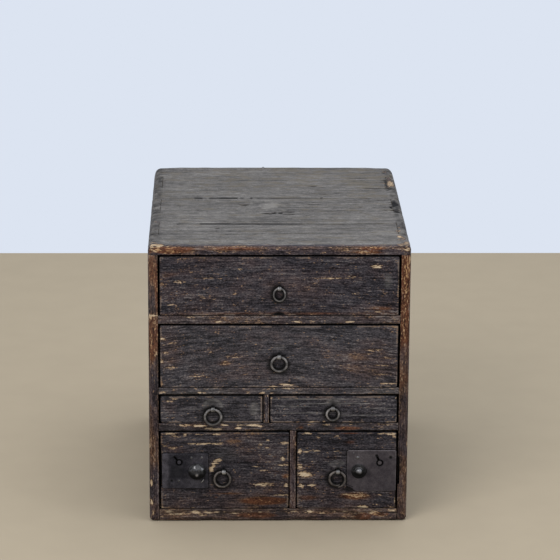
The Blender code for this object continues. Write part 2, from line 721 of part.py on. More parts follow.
def keyhole_outline(lock, x, z):
    """A round keyhole with a slot for the key's bit, which leans to the left of upright."""
    lean = math.pi / 2 + lock["key_slot_lean"]
    along = Vector((math.cos(lean), math.sin(lean)))
    aside = Vector((-along.y, along.x)) * (KEYHOLE_SLOT_WIDTH / 2)
    radius = KEYHOLE_DIAMETER / 2
    half_angle = math.asin(KEYHOLE_SLOT_WIDTH / 2 / radius)
    tip = along * lock["key_slot_length"]
    points = []
    for step in range(TURNED_STEPS + 1):
        angle = lean + half_angle + step * (2 * math.pi - 2 * half_angle) / TURNED_STEPS
        points.append((x + radius * math.cos(angle), z + radius * math.sin(angle)))
    points.append((x + tip.x - aside.x, z + tip.y - aside.y))
    points.append((x + tip.x + aside.x, z + tip.y + aside.y))
    return points


def dome_profile(lock, base_front):
    """Half section of a knob and its stem, from the bolt out to the dome, as (radius, distance behind)."""
    dome_diameter, dome_height = lock["dome"]
    base_diameter, base_thickness = lock["base"]
    dome_foot = base_front - base_thickness
    profile = []
    for step in range(DOME_STEPS + 1):
        angle = step / DOME_STEPS * math.pi / 2
        profile.append((dome_diameter / 2 * math.sin(angle), dome_foot - dome_height * math.cos(angle)))
    if base_diameter > dome_diameter:
        profile.append((base_diameter / 2, dome_foot))
    profile.append((base_diameter / 2, base_front))
    profile.append((STEM_DIAMETER / 2, base_front))
    profile.append((STEM_DIAMETER / 2, BOLT_DEPTH + BOLT_THICKNESS / 2))
    profile.append((0.0, BOLT_DEPTH + BOLT_THICKNESS / 2))
    return profile


def build_lock(name, box, front, empty):
    """Sheet plate, case and sliding bolt of one lock, let into the drawer front from its face."""
    lock = LOCKS[name]
    left, right, low_z, high_z = box
    sign = -1 if name == "left_lock" else 1
    end = left if sign < 0 else right
    centre = (low_z + high_z) / 2
    bolt_z = bolt_height()
    key_x = end - sign * lock["key_from_end"]
    key_z = centre + lock["key_above_centre"]
    knob_x = end - sign * lock["knob_from_end"]
    plate_width, plate_height = lock["plate"]
    half_bolt = BOLT_HEIGHT / 2
    half_stem = STEM_DIAMETER / 2

    # Mortise for the case, and the channel by which the bolt leaves through the drawer's end
    case_outer = end - sign * CASE_OUTER_INSET
    case_inner = knob_x - sign * (BOLT_TAIL + CASE_MARGIN)
    case_low = bolt_z - half_bolt - JOINT_GAP - CASE_GUIDE_HEIGHT - CASE_MARGIN
    case_high = key_z + KEYHOLE_DIAMETER / 2 + CASE_MARGIN
    case_left, case_right = sorted((case_outer, case_inner))
    low = (case_left - JOINT_GAP, FRONT - CUT_MARGIN, case_low - JOINT_GAP)
    high = (case_right + JOINT_GAP, FRONT + MORTISE_DEPTH, case_high + JOINT_GAP)
    cut_boxes(front, "lock_mortise", [(low, high)])
    channel = sorted((end + sign * CUT_MARGIN, case_outer - sign * CUT_MARGIN))
    low = (channel[0], FRONT - CUT_MARGIN, bolt_z - half_bolt - JOINT_GAP)
    high = (channel[1], FRONT + BOLT_BACK + JOINT_GAP, bolt_z + half_bolt + JOINT_GAP)
    cut_boxes(front, "bolt_channel", [(low, high)])

    if "end_relief" in lock:
        depth, height, rise = lock["end_relief"]
        hollow = sorted((end + sign * CUT_MARGIN, end - sign * depth))
        low = (hollow[0], FRONT - CUT_MARGIN, centre + rise - height / 2)
        high = (hollow[1], FRONT + END_RELIEF_LENGTH, centre + rise + height / 2)
        cut_boxes(front, "end_relief", [(low, high)])

    # Case: a tray behind the bolt with a guide strip on each side of it and the post for a hollow key
    low = (case_left, FRONT + CASE_FACE, case_low)
    high = (case_right, FRONT + CASE_FACE + CASE_THICKNESS, case_high)
    case = add_board(f"{name}_case", low, high, BLACK_IRON, empty)
    guide_back = FRONT + CASE_FACE + CASE_THICKNESS / 2
    for label, edge in (("guide_below", -1), ("guide_above", 1)):
        start = bolt_z + edge * (half_bolt + JOINT_GAP)
        ends = sorted((start, start + edge * CASE_GUIDE_HEIGHT))
        low = (case_left + CASE_MARGIN, FRONT + JOINT_GAP, ends[0])
        high = (case_right - CASE_MARGIN, guide_back, ends[1])
        mesh = box_mesh(f"{name}_{label}", [(low, high)], low)
        add_boolean(case, add_cutter(f"{name}_{label}", mesh, low, empty), "UNION")
    post = bar_mesh(f"{name}_key_post", KEY_POST_DIAMETER, -PLATE_THICKNESS, CASE_FACE + CASE_THICKNESS / 2)
    add_boolean(case, add_cutter(f"{name}_key_post", post, (key_x, FRONT, key_z), empty), "UNION")

    # Plate on the drawer's face, with the keyhole and the slot that the knob's stem slides in
    origin = (knob_x, FRONT - JOINT_GAP - PLATE_THICKNESS / 2, bolt_z)
    plate_end = end - sign * lock["plate_from_end"]
    across = sorted((plate_end, plate_end - sign * plate_width))
    plate_low = (across[0] - knob_x, centre - plate_height / 2 - bolt_z)
    plate_high = (across[1] - knob_x, centre + plate_height / 2 - bolt_z)
    sheet = flat_mesh(f"{name}_plate", plate_outline(lock, plate_low, plate_high, sign), PLATE_THICKNESS)
    sheet.materials.append(BLACK_IRON)
    plate = bpy.data.objects.new(f"{name}_plate", sheet)
    CHEST.objects.link(plate)
    place(plate, origin, empty)
    half_slot = half_stem + JOINT_GAP
    slot = sorted((-sign * half_slot, sign * (half_slot + BOLT_THROW)))
    slot_low = [(slot[0], -half_slot), (slot[1], -half_slot)]
    slot_high = [(slot[1], half_slot), (slot[0], half_slot)]
    holes = {
        "keyhole": keyhole_outline(lock, key_x - knob_x, key_z - bolt_z),
        "knob_slot": slot_low + slot_high,
    }
    for label, outline in holes.items():
        mesh = flat_mesh(f"{name}_{label}", outline, 2 * PLATE_THICKNESS)
        add_boolean(plate, add_cutter(f"{name}_{label}", mesh, origin, empty), "DIFFERENCE")

    # Bolt bar with the notch that the key's bit pushes, joined to its knob by the stem
    bar = sorted((end - sign * bolt_inset(lock), knob_x - sign * BOLT_TAIL))
    low = (bar[0], FRONT + BOLT_DEPTH, bolt_z - half_bolt)
    high = (bar[1], FRONT + BOLT_BACK, bolt_z + half_bolt)
    bolt = add_board(f"{name}_bolt", low, high, BLACK_IRON, empty)
    low = (key_x - TALON_WIDTH / 2, FRONT - CUT_MARGIN, bolt_z + half_bolt - TALON_DEPTH)
    high = (key_x + TALON_WIDTH / 2, FRONT + BOLT_BACK + CUT_MARGIN, bolt_z + half_bolt + CUT_MARGIN)
    cut_boxes(bolt, "talon", [(low, high)])
    base_front = -JOINT_GAP - PLATE_THICKNESS - JOINT_GAP
    knob = turned_mesh(f"{name}_knob", dome_profile(lock, base_front))
    knob.materials.append(BLACK_IRON)
    add_boolean(bolt, add_cutter(f"{name}_knob", knob, (knob_x, FRONT, bolt_z), empty), "UNION")


def build_drawer(name, spec):
    box = drawer_box(spec["bay"])
    left, right, low_z, high_z = box
    empty = bpy.data.objects.new(name, None)
    CHEST.objects.link(empty)
    empty.location = ((left + right) / 2, FRONT, (low_z + high_z) / 2)
    front = build_front(name, box, empty)
    build_tray(name, box, empty)
    build_pull(name, spec, box, front, empty)
    if "lock" in spec:
        build_lock(spec["lock"], box, front, empty)


build_carcass()
for drawer_name, drawer_spec in DRAWERS.items():
    build_drawer(drawer_name, drawer_spec)
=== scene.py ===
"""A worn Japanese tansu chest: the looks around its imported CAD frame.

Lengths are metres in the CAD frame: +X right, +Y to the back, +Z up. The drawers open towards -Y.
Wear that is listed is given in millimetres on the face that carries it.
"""

import itertools
import math

import bmesh
import bpy
import numpy as np
from mathutils import Matrix, Vector


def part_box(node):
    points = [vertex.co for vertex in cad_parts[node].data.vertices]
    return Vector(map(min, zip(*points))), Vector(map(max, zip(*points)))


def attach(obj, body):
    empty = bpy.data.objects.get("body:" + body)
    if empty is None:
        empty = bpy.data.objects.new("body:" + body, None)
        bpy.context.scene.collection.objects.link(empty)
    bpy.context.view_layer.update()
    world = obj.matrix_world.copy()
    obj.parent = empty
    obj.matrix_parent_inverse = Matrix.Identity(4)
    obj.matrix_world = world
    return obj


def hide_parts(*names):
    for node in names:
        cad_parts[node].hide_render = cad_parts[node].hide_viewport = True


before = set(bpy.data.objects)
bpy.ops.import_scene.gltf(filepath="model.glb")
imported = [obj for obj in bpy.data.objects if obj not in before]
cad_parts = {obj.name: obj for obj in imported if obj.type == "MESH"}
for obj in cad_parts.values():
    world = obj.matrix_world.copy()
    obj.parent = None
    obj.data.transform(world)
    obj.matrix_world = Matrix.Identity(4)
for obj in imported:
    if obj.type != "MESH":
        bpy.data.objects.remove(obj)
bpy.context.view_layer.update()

MM = 0.001

# Places taken from the CAD frame
LEFT_LOW, LEFT_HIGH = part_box("side_left")
RIGHT_LOW, RIGHT_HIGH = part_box("side_right")
ENVELOPE_LOW = np.array(LEFT_LOW)
ENVELOPE_HIGH = np.array(RIGHT_HIGH)
FRONT = LEFT_LOW.y
BACK = LEFT_HIGH.y
INNER = RIGHT_LOW.x
TOP = LEFT_HIGH.z
PLANK_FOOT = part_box("top_plank_front")[0].z
DRAWERS = (
    "top_drawer",
    "second_drawer",
    "small_left_drawer",
    "small_right_drawer",
    "lock_left_drawer",
    "lock_right_drawer",
)

# Camera that matches the photograph's view
CAMERA_PLACE = (-0.080, -3.836, 1.410)
CAMERA_PITCH = math.radians(16.318)
CAMERA_YAW = math.radians(1.28)
CAMERA_ROLL = math.radians(-0.33)
CAMERA_LENS = 177.0
CAMERA_SENSOR = 36.0

# Stage and light
FLOOR_HALF = 1.16
FLOOR_COLOUR = (0.43, 0.365, 0.275)
BACKDROP_COLOUR = (0.716, 0.775, 0.880)
AMBIENT_COLOUR = (0.93, 0.97, 1.0)
AMBIENT_STRENGTH = 0.66
LAMP_TARGET = Vector((0.0, 0.0, 0.2))
LAMPS = (
    ("key_lamp", (-1.5, -2.4, 2.6), (1.8, 1.8), 52.0, (1.0, 0.97, 0.93)),
    ("top_lamp", (0.3, 0.1, 2.6), (2.0, 1.6), 22.0, (0.97, 0.98, 1.0)),
    ("fill_lamp", (2.2, -1.6, 1.2), (1.4, 1.4), 12.0, (0.95, 0.98, 1.0)),
)

# Colours that wear, grime, painted highlights and painted shade mix into wood and iron
SCUFFED = (0.200, 0.178, 0.172)
WORN_AND_LIT_EDGE = (0.165, 0.125, 0.105)
STAINED_BARE = (0.400, 0.215, 0.090)
WARM_GREY = (0.128, 0.110, 0.086)
GRAIN_LINE = (0.040, 0.036, 0.034)
PALE_SMEAR = (0.285, 0.270, 0.255)
GRIME_AND_SHADE = (0.0040, 0.0035, 0.0035)
BARE_STAIN = (0.105, 0.068, 0.043)
BARE_SOIL = (0.060, 0.038, 0.025)
SOOT_AND_SHADE = (0.003, 0.003, 0.003)

# Woods: the axis of their grain, and for bare wood how light it is
LACQUERED_WOODS = {"lacquered_wood_along": 0, "lacquered_wood_upright": 2}
BARE_WOODS = {
    "bare_wood_across": (0, 0.62),
    "bare_wood_deep": (1, 0.62),
    "bare_wood_upright": (2, 0.50),
    "aged_back_wood": (0, 0.40),
}

# Irons: dark scale, worn metal, rust, how rough and how metallic
IRONS = {
    "grey_iron": ((0.030, 0.028, 0.028), (0.330, 0.310, 0.300), (0.100, 0.080, 0.070), 0.30, 0.5),
    "brown_iron": ((0.024, 0.020, 0.019), (0.250, 0.218, 0.200), (0.090, 0.066, 0.056), 0.32, 0.5),
    "knob_iron": ((0.010, 0.010, 0.011), (0.300, 0.292, 0.298), (0.050, 0.044, 0.044), 0.14, 0.6),
    "eye_iron": ((0.030, 0.029, 0.029), (0.330, 0.320, 0.315), (0.095, 0.080, 0.066), 0.28, 0.6),
    "left_plate_iron": ((0.0080, 0.0076, 0.0125), (0.105, 0.098, 0.118), (0.030, 0.026, 0.032), 0.32, 0.4),
    "right_plate_iron": ((0.033, 0.027, 0.033), (0.170, 0.150, 0.160), (0.050, 0.038, 0.042), 0.36, 0.3),
}

# Noise that wear and painted light and shade are drawn with: a cell's length along X, Y, Z in mm, and seed
NOISE_LAYERS = 3
NOISE = {
    "front_edge": ((28, 28, 14), 11),
    "front_wave": ((90, 90, 22), 23),
    "front_nick": ((9, 9, 3), 37),
    "front_scuff": ((60, 60, 18), 51),
    "front_brown": ((90, 90, 24), 53),
    "front_worn": ((16, 16, 16), 57),
    "front_foot": ((14, 14, 14), 59),
    "chip_along": ((5, 5, 2.2), 5),
    "chip_upright": ((2.2, 5, 5), 5),
    "rail_along": ((30, 14, 14), 71),
    "rail_upright": ((14, 14, 30), 71),
    "rail_nick": ((9, 9, 3), 39),
    "rail_soil": ((16, 16, 5), 81),
    "shell": ((34, 34, 34), 91),
    "side_edge": ((16, 16, 30), 131),
    "side_wave": ((40, 40, 120), 141),
    "side_nick": ((6, 6, 14), 151),
    "side_scuff": ((50, 50, 90), 161),
    "crack": ((9, 30, 30), 201),
    "plank_edge": ((26, 12, 12), 231),
    "plank_wave": ((140, 18, 18), 241),
    "plank_ridge": ((70, 6, 6), 251),
    "plank_nick": ((14, 5, 5), 261),
    "top_mark": ((5, 7, 5), 271),
    "top_grey": ((22, 10, 10), 281),
    "top_mottle": ((5, 9, 5), 291),
    "ring_grime_and_shadow": ((7, 7, 7), 301),
    "iron_rub_and_highlight": ((4, 4, 4), 401),
    "ring_rub_and_highlight": ((6, 6, 6), 401),
    "pin_rub_and_highlight": ((3, 3, 3), 403),
    "ring_wire": ((2.4, 2.4, 2.4), 501),
    "bare_edge": ((40, 40, 40), 601),
    "bare_plane": ((34, 60, 34), 611),
    "bare_soil": ((50, 50, 50), 621),
    "bare_stain": ((120, 120, 60), 631),
    "plate_hammer": ((13, 13, 13), 601),
    "plate_dent": ((4, 4, 4), 611),
    "plate_cloud": ((18, 18, 18), 621),
}

# Values painted on the points of a board, read by its material, and the range that they are held in
# The wear field also carries painted highlights, and the dirt field painted shade
FIELDS = ("chip", "brown", "wear", "scuff", "grey", "dirt", "pale", "warm", "curve")
FIELD_LOW = {"brown": -0.5}
FIELD_HIGH = 1.6

# The two axes of the fronts and of the top, on which marks are listed
FRONT_AXES = (0, 2)
TOP_AXES = (0, 1)

# The carcass's outer shell: the radius of its CAD edges, and how deep a point still counts as on it
CAD_EDGE_RADIUS = 6.0 * MM
SHELL_DEPTH = 0.35 * MM

# Faces that only show with the drawers open: how far behind the front, and how far inside the shell
INNER_START = 30.0 * MM
INNER_DEPTH = 4.0 * MM

# How finely boards are cut, how deep their fronts are, and how far from an edge extra cuts lie, in mm
FRONT_STEPS = (2.2, 0.9)
FRONT_SKIN = 4.5
RAIL_SKIN = 9.0
EDGE_DEPTH = 2.0
SIDE_STEPS = (9.0, 2.4)
PLANK_STEPS = (3.0, 1.3)
BARE_STEP = 14.0
PLATE_STEP = 0.8
EDGE_CUTS = (0.4, 0.9, 1.6, 2.6, 4.0)
ROUND_CUTS = (0.6, 1.4, 2.6, 4.2, 6.2, 8.6, 11.5)
CORNER_CUTS = (*ROUND_CUTS, 15.0, 19.0)
MARGIN_CUTS = (2.0, 9.0)
BARE_CUTS = (0.5, 1.2, 4.0)
PLATE_CUTS = (0.25, 0.6)
PLATE_DEEP_CUTS = (0.3, 0.7)
CASE_CUTS = (0.3, 0.8, 1.6)

# Limits for meshes: the angle of a sharp edge and of a flat join, and lengths in metres that count as nothing
SHARP_ANGLE = math.radians(40)
FLAT_ANGLE = 0.002
WELD_GAP = 1e-6
CUT_GAP = 1e-7
NO_LENGTH = 1e-9

# Bare spots on the fronts: X, Z, half length, half height, and how bare, 1 being tan and more paler
CHIPS = {
    "top_drawer_front": (
        (-137, 350, 6, 2.2, 0.90), (-100, 354.7, 14, 0.9, 0.90), (-105, 327.4, 4, 1.4, 0.80),
        (-60, 333, 3.5, 1.3, 0.70), (-54, 367.5, 2.5, 1.2, 1.00), (132.5, 371.6, 7, 2.6, 1.00),
        (74, 355, 22, 0.8, 1.05), (100, 358, 6, 0.9, 1.10), (103, 333, 4, 1.4, 0.80),
        (136, 307, 6, 1.0, 0.90), (-148, 317, 7, 1.0, 0.80), (163.5, 345, 0.9, 14, 0.70),
    ),
    "second_drawer_front": (
        (-157, 248, 4, 1.5, 1.00), (-150, 226, 8, 2.0, 0.75), (-146, 262, 6, 1.6, 0.75),
        (-110, 214, 12, 1.2, 0.70), (-64, 242, 10, 1.2, 0.70), (130, 252, 14, 1.4, 0.75),
        (150, 240, 8, 1.4, 0.80), (140, 216, 10, 1.2, 0.75), (-161, 268, 2.5, 2.0, 0.90),
        (-161, 235, 2.5, 2.2, 0.90), (-94, 248, 2.5, 1.2, 1.10), (-74, 233, 5, 2.5, 0.70),
        (9.8, 201.5, 9, 1.6, 1.25), (15, 206, 1.0, 4.0, 0.85), (-8.3, 198.8, 5, 1.2, 1.15),
        (152, 203, 10, 1.2, 1.00), (118, 246, 9, 0.9, 0.75), (137, 229, 12, 0.9, 0.75),
    ),
    "small_left_drawer_front": (
        (-153.6, 177.7, 8, 1.6, 0.80), (-146, 181, 6, 1.0, 0.80), (-149, 153.6, 6, 1.0, 0.65),
        (-23, 183, 1.5, 2.5, 0.80),
    ),
    "small_right_drawer_front": (
        (-10.6, 183, 1.6, 2.0, 0.85), (163, 182, 1.5, 2.0, 0.90), (44, 147.2, 6, 1.2, 1.00),
        (63, 147.5, 3, 1.0, 1.00), (99, 147.0, 2.5, 0.9, 1.00), (152, 146.8, 3, 0.8, 1.00),
    ),
    "lock_left_drawer_front": (
        (-150, 130.1, 8.0, 1.6, 1.01), (-130, 128.6, 2.7, 1.6, 1.23), (-114, 129.3, 4.0, 1.1, 0.90),
        (-87, 129.2, 6.0, 1.6, 1.12), (-143, 125.8, 6.6, 1.3, 0.90), (-102, 115.4, 28.6, 1.3, 1.06),
        (-147, 109.5, 6.6, 1.6, 0.95), (-158, 112.4, 4.0, 1.1, 0.78), (-25, 113.5, 2.0, 1.1, 1.34),
        (-15, 120.5, 1.6, 1.3, 1.01), (-16, 109.2, 2.7, 1.1, 1.12), (-13, 99.2, 1.3, 1.3, 1.12),
        (6, 92.8, 2.0, 3.1, 1.51), (8, 116.2, 6.6, 1.7, 1.12), (7, 83.5, 8.0, 1.6, 1.06),
        (-21, 75.7, 6.6, 1.1, 0.84), (-33, 81.5, 5.3, 0.9, 0.67), (-20, 55.0, 14.6, 2.1, 1.06),
        (11, 54.2, 2.3, 3.1, 1.23), (4, 39.1, 10.0, 0.9, 1.23), (-62, 76.5, 1.2, 2.4, 1.01),
        (-119, 20.1, 4.0, 0.9, 0.90), (-162, 22.4, 2.5, 1.1, 0.90),
    ),
    "lock_right_drawer_front": (
        (40, 130.3, 5.6, 1.5, 1.29), (55, 124.9, 3.7, 0.8, 1.01), (81, 126.6, 3.5, 0.8, 1.23),
        (156, 129.3, 8.1, 1.7, 0.90), (141, 123.4, 5.0, 0.8, 0.90), (30, 103.8, 2.7, 3.2, 1.29),
        (38, 103.1, 5.6, 0.8, 1.01), (53, 104.4, 5.6, 0.8, 1.01), (30, 80.5, 3.4, 3.9, 1.01),
        (36, 69.2, 9.3, 4.1, 1.29), (60, 66.0, 1.5, 1.7, 0.90), (32, 53.2, 3.5, 3.2, 1.06),
        (47, 53.8, 5.6, 1.6, 1.18), (81, 103.6, 4.3, 0.8, 0.90), (97, 39.6, 8.1, 1.3, 0.90),
        (110, 38.0, 13, 3.2, 0.88), (141, 38.8, 5.6, 1.3, 0.78), (119, 20.8, 7.2, 2.5, 1.40),
        (138, 24.7, 4.3, 0.8, 0.90), (154, 19.2, 5.6, 1.5, 1.06), (163.4, 30.6, 1.1, 4.6, 1.01),
        (146, 130.0, 8, 0.9, 1.12), (156, 128.3, 6, 1.0, 1.12), (161, 125.5, 2.5, 1.4, 1.12),
    ),
    "shelf_upper": (
        (-122, 299.5, 5, 1.2, 1.05), (-84, 292.8, 5, 1.1, 1.20), (-61, 292.8, 3, 1.0, 1.00),
        (24.5, 292.6, 6, 1.1, 1.25), (47, 292.6, 3, 0.9, 1.00), (98, 292.6, 6, 1.1, 1.25),
    ),
    "shelf_middle": (
        (-161, 190.5, 5, 1.4, 1.00), (-107.6, 190.2, 6, 1.2, 1.00), (-42, 190, 2.5, 1.0, 0.95),
        (-22.4, 189.8, 4, 1.2, 1.15), (-8, 189.6, 5, 1.0, 0.75), (-8, 196, 6, 0.9, 0.90),
        (12, 196.2, 8, 0.9, 1.10),
    ),
    "shelf_lower": (
        (-130, 142.6, 11.3, 1.3, 1.20), (-110, 141.8, 9.3, 1.7, 1.40), (-98, 137.7, 5.3, 1.6, 1.40),
        (-87, 136.6, 8.0, 1.3, 1.60), (-75, 142.6, 4.0, 1.4, 1.50), (-56, 138.3, 4.0, 1.7, 1.30),
        (-54, 142.8, 4.0, 1.0, 1.10), (-36, 142.5, 9.3, 1.3, 1.40), (-26, 141.1, 5.3, 1.2, 1.20),
        (45, 143, 4, 0.8, 0.95), (66, 143, 5, 0.8, 1.00), (100, 143, 3, 0.8, 0.95),
        (146, 143, 12.4, 0.9, 0.85),
    ),
    "bottom_board": (
        (-153, 15.0, 5.5, 1.6, 1.25), (-148, 12.3, 6.0, 1.0, 0.90), (-115, 13.8, 6.0, 2.2, 1.30),
        (-106, 9.6, 5.3, 1.6, 1.05), (-161, 7.3, 4.7, 1.1, 0.85), (-80, 14.2, 10.0, 0.8, 0.90),
        (-130, 15.1, 6.6, 0.8, 0.90), (-140, 11.2, 15, 1.8, 0.85), (-95, 13.2, 14, 1.6, 0.85),
        (-58, 12.6, 12, 1.2, 0.75), (-22, 13.6, 12, 1.0, 0.70), (20, 14.4, 12, 1.0, 0.75),
        (62, 12.4, 10, 1.2, 0.75), (98, 14.0, 10, 1.2, 0.80), (134, 12.6, 6, 2.6, 1.10),
        (43, 13.8, 5.6, 1.6, 1.20), (79, 14.8, 2.5, 0.8, 0.90), (114, 12.0, 7.4, 1.0, 0.90),
        (160, 15.6, 4.3, 1.6, 1.15), (148, 7.8, 5.6, 0.9, 0.80),
    ),
    "side_left": (
        (-174, 302.3, 8, 1.3, 1.30), (-178, 297, 2.6, 4.5, 1.05), (-171, 290, 3.0, 7, 0.80),
        (-176, 268, 2.0, 9, 0.80), (-170, 246, 2.0, 6, 0.85), (-168, 330, 1.0, 14, 0.75),
        (-179, 111.7, 1.9, 4.8, 1.10), (-177, 57.6, 1.3, 4.8, 0.95), (-177, 28.9, 2.3, 4.1, 1.05),
        (-175, 13.1, 1.3, 4.8, 0.95), (-170, 113.1, 0.8, 1.4, 1.10), (-174, 123.1, 1.3, 2.7, 0.80),
        (-174.5, 394.5, 5, 4.0, 1.00),
    ),
    "side_right": (
        (179.4, 114.7, 1.2, 3.8, 1.10), (168, 29.3, 1.2, 3.8, 0.85), (179.5, 64.1, 0.9, 3.8, 0.85),
        (177, 394, 2.5, 3.5, 1.00), (178.6, 379, 1.6, 8, 1.10),
    ),
    "top_plank_front": (
        (-169, 395.5, 8, 3.0, 0.90), (-146, 392.5, 12, 1.4, 0.80), (-136, 391, 3, 0.8, 0.80),
        (121, 391.2, 12, 1.3, 0.80), (126, 398, 8, 0.9, 0.65), (60, 391, 4, 0.8, 0.90),
        (12, 392, 6, 1.0, 0.75), (174, 395, 4, 2.6, 0.95),
    ),
    "partition_upper": ((-17, 186, 2, 1.4, 0.9),),
    "partition_lower": ((22, 96, 1.0, 6, 0.6),),
}

# Red-brown places, where the stain is left but the lacquer is gone
BROWNED = {
    "top_drawer_front": ((140, 312, 16, 3, 0.8), (-150, 360, 10, 4, 0.6), (0, 304.5, 165, 2.2, 0.8)),
    "second_drawer_front": ((130, 232, 36, 26, 0.7), (-150, 250, 14, 22, 0.6), (-74, 233, 9, 4, 0.7)),
    "small_left_drawer_front": ((-152, 170, 9, 12, 0.6),),
    "small_right_drawer_front": ((60, 182, 14, 2, 0.6),),
    "lock_left_drawer_front": (
        (-16, 30.6, 30, 5.0, 1.2), (10, 67.1, 5.3, 3.4, 1.1), (-63, 119.2, 10.6, 2.4, 0.9),
        (-74, 41.5, 20, 1.2, 0.8), (-87, 35.8, 2.7, 1.4, 0.8), (5, 128, 12, 2, 0.8),
    ),
    "lock_right_drawer_front": (
        (110, 37.5, 21, 4.5, 0.9), (100, 130.4, 17, 1.2, 1.1), (41, 35.0, 15.5, 4.2, 0.7),
        (100, 117.5, 8, 2.8, 0.8),
    ),
    "shelf_lower": ((96, 138, 19, 2.4, 1.1), (31, 139, 4, 2.4, 0.9)),
    "side_left": ((-174, 272, 10, 24, 0.55), (-168, 340, 2.4, 30, 0.50)),
    "bottom_board": ((119, 6.6, 8.1, 3.8, 1.0), (142, 10.5, 9.3, 2.2, 0.9), (-30, 9, 20, 3, 0.7)),
    "top_plank_front": (
        (121, 391.6, 20, 2.4, 1.1), (126, 397, 14, 1.8, 1.0), (-60, 396, 30, 2.5, 0.6),
        (-148, 394, 26, 5, 1.1),
    ),
}

# How brown, pale and dark each drawer front is, and how far the grain of its front arches, per metre
FRONT_TONES = {
    "top_drawer": (0.24, 0.000, 0.06, 0.20),
    "second_drawer": (0.04, 0.034, 0.00, 0.45),
    "small_left_drawer": (-0.28, 0.030, 0.00, 0.10),
    "small_right_drawer": (-0.36, 0.006, 0.00, 0.00),
    "lock_left_drawer": (0.13, 0.000, 0.20, 0.15),
    "lock_right_drawer": (0.12, 0.000, 0.13, 0.25),
}

# Notches broken out of the sides
GOUGES = {"side_left": ((-180, 306.5, 2.2, 2.6, 1.0),)}

# How black the foot of some drawer fronts is
FOOT_BLACKENING = {"lock_left_drawer": 0.9, "lock_right_drawer": 0.9}

# How bright the worn edges of some drawer fronts are, partly a painted highlight where the arris catches
# light
EDGE_LIGHT = {"small_left_drawer": 1.3, "small_right_drawer": 1.3, "second_drawer": 1.15}

# Pale smears and fine lines on the fronts: X, Z, half length, half height, strength
SMEARS = {
    "top_drawer_front": ((149, 351, 4.5, 8, 0.22),),
    "small_left_drawer_front": ((-34, 167, 5, 8, 0.26), (-120, 166, 30, 0.5, 0.20)),
    "small_right_drawer_front": (
        (60, 180.5, 62, 0.8, 0.34), (78, 174.2, 50, 0.8, 0.30), (20, 170.0, 26, 0.8, 0.24),
        (42, 160.5, 44, 0.8, 0.26), (118, 157.0, 36, 0.8, 0.26), (140, 167.0, 20, 0.8, 0.20),
    ),
    "lock_left_drawer_front": ((-72, 100, 14, 8, 0.06),),
}

# Arcs that the rings have worn: front, pin, reach from its eye, thickness, start and end angles, strength
# Arcs stronger than BARE_RUB are rubbed bare, the others polished. Their ends fade over RUB_RAMP degrees
BARE_RUB = 0.7
RUB_RAMP = 8.0
RUBS = (
    ("lock_left_drawer_front", "lock_left_drawer_pin", 17.0, 3.0, 98, 190, 1.10),
    ("lock_left_drawer_front", "lock_left_drawer_pin", 15.5, 1.0, 338, 362, 0.80),
    ("lock_right_drawer_front", "lock_right_drawer_pin", 13.0, 2.4, 40, 150, 0.40),
    ("small_left_drawer_front", "small_left_drawer_pin", 12.4, 2.0, 0, 180, 0.60),
    ("small_right_drawer_front", "small_right_drawer_pin", 10.6, 1.8, 15, 165, 0.50),
    ("second_drawer_front", "second_drawer_pin", 14.0, 2.4, 50, 130, 0.25),
)

# How pale, brown and soiled the boards between the drawers are
RAIL_TONES = {
    "shelf_upper": (0.040, 0.55, 0.10),
    "shelf_middle": (0.100, 0.10, 0.00),
    "shelf_lower": (0.040, 0.30, 0.50),
    "bottom_board": (0.035, 0.85, 0.42),
    "partition_upper": (0.000, 0.30, 0.00),
    "partition_lower": (0.000, 0.70, 0.00),
}

# Which way each side faces, what its front edge gains higher up (brown, bare, pale), and how much darker its
# front is lower down
SIDE_TONES = {"side_left": (-1, 0.30, 0.12, 0.05, 0.00), "side_right": (1, 0.55, 0.21, 0.00, 0.22)}

# A nick at the lower edge of the top drawer: X and Z, then its half length and half height
NICK_PLACE = (-0.5, 303.8)
NICK_HALVES = (6.5, 2.0)

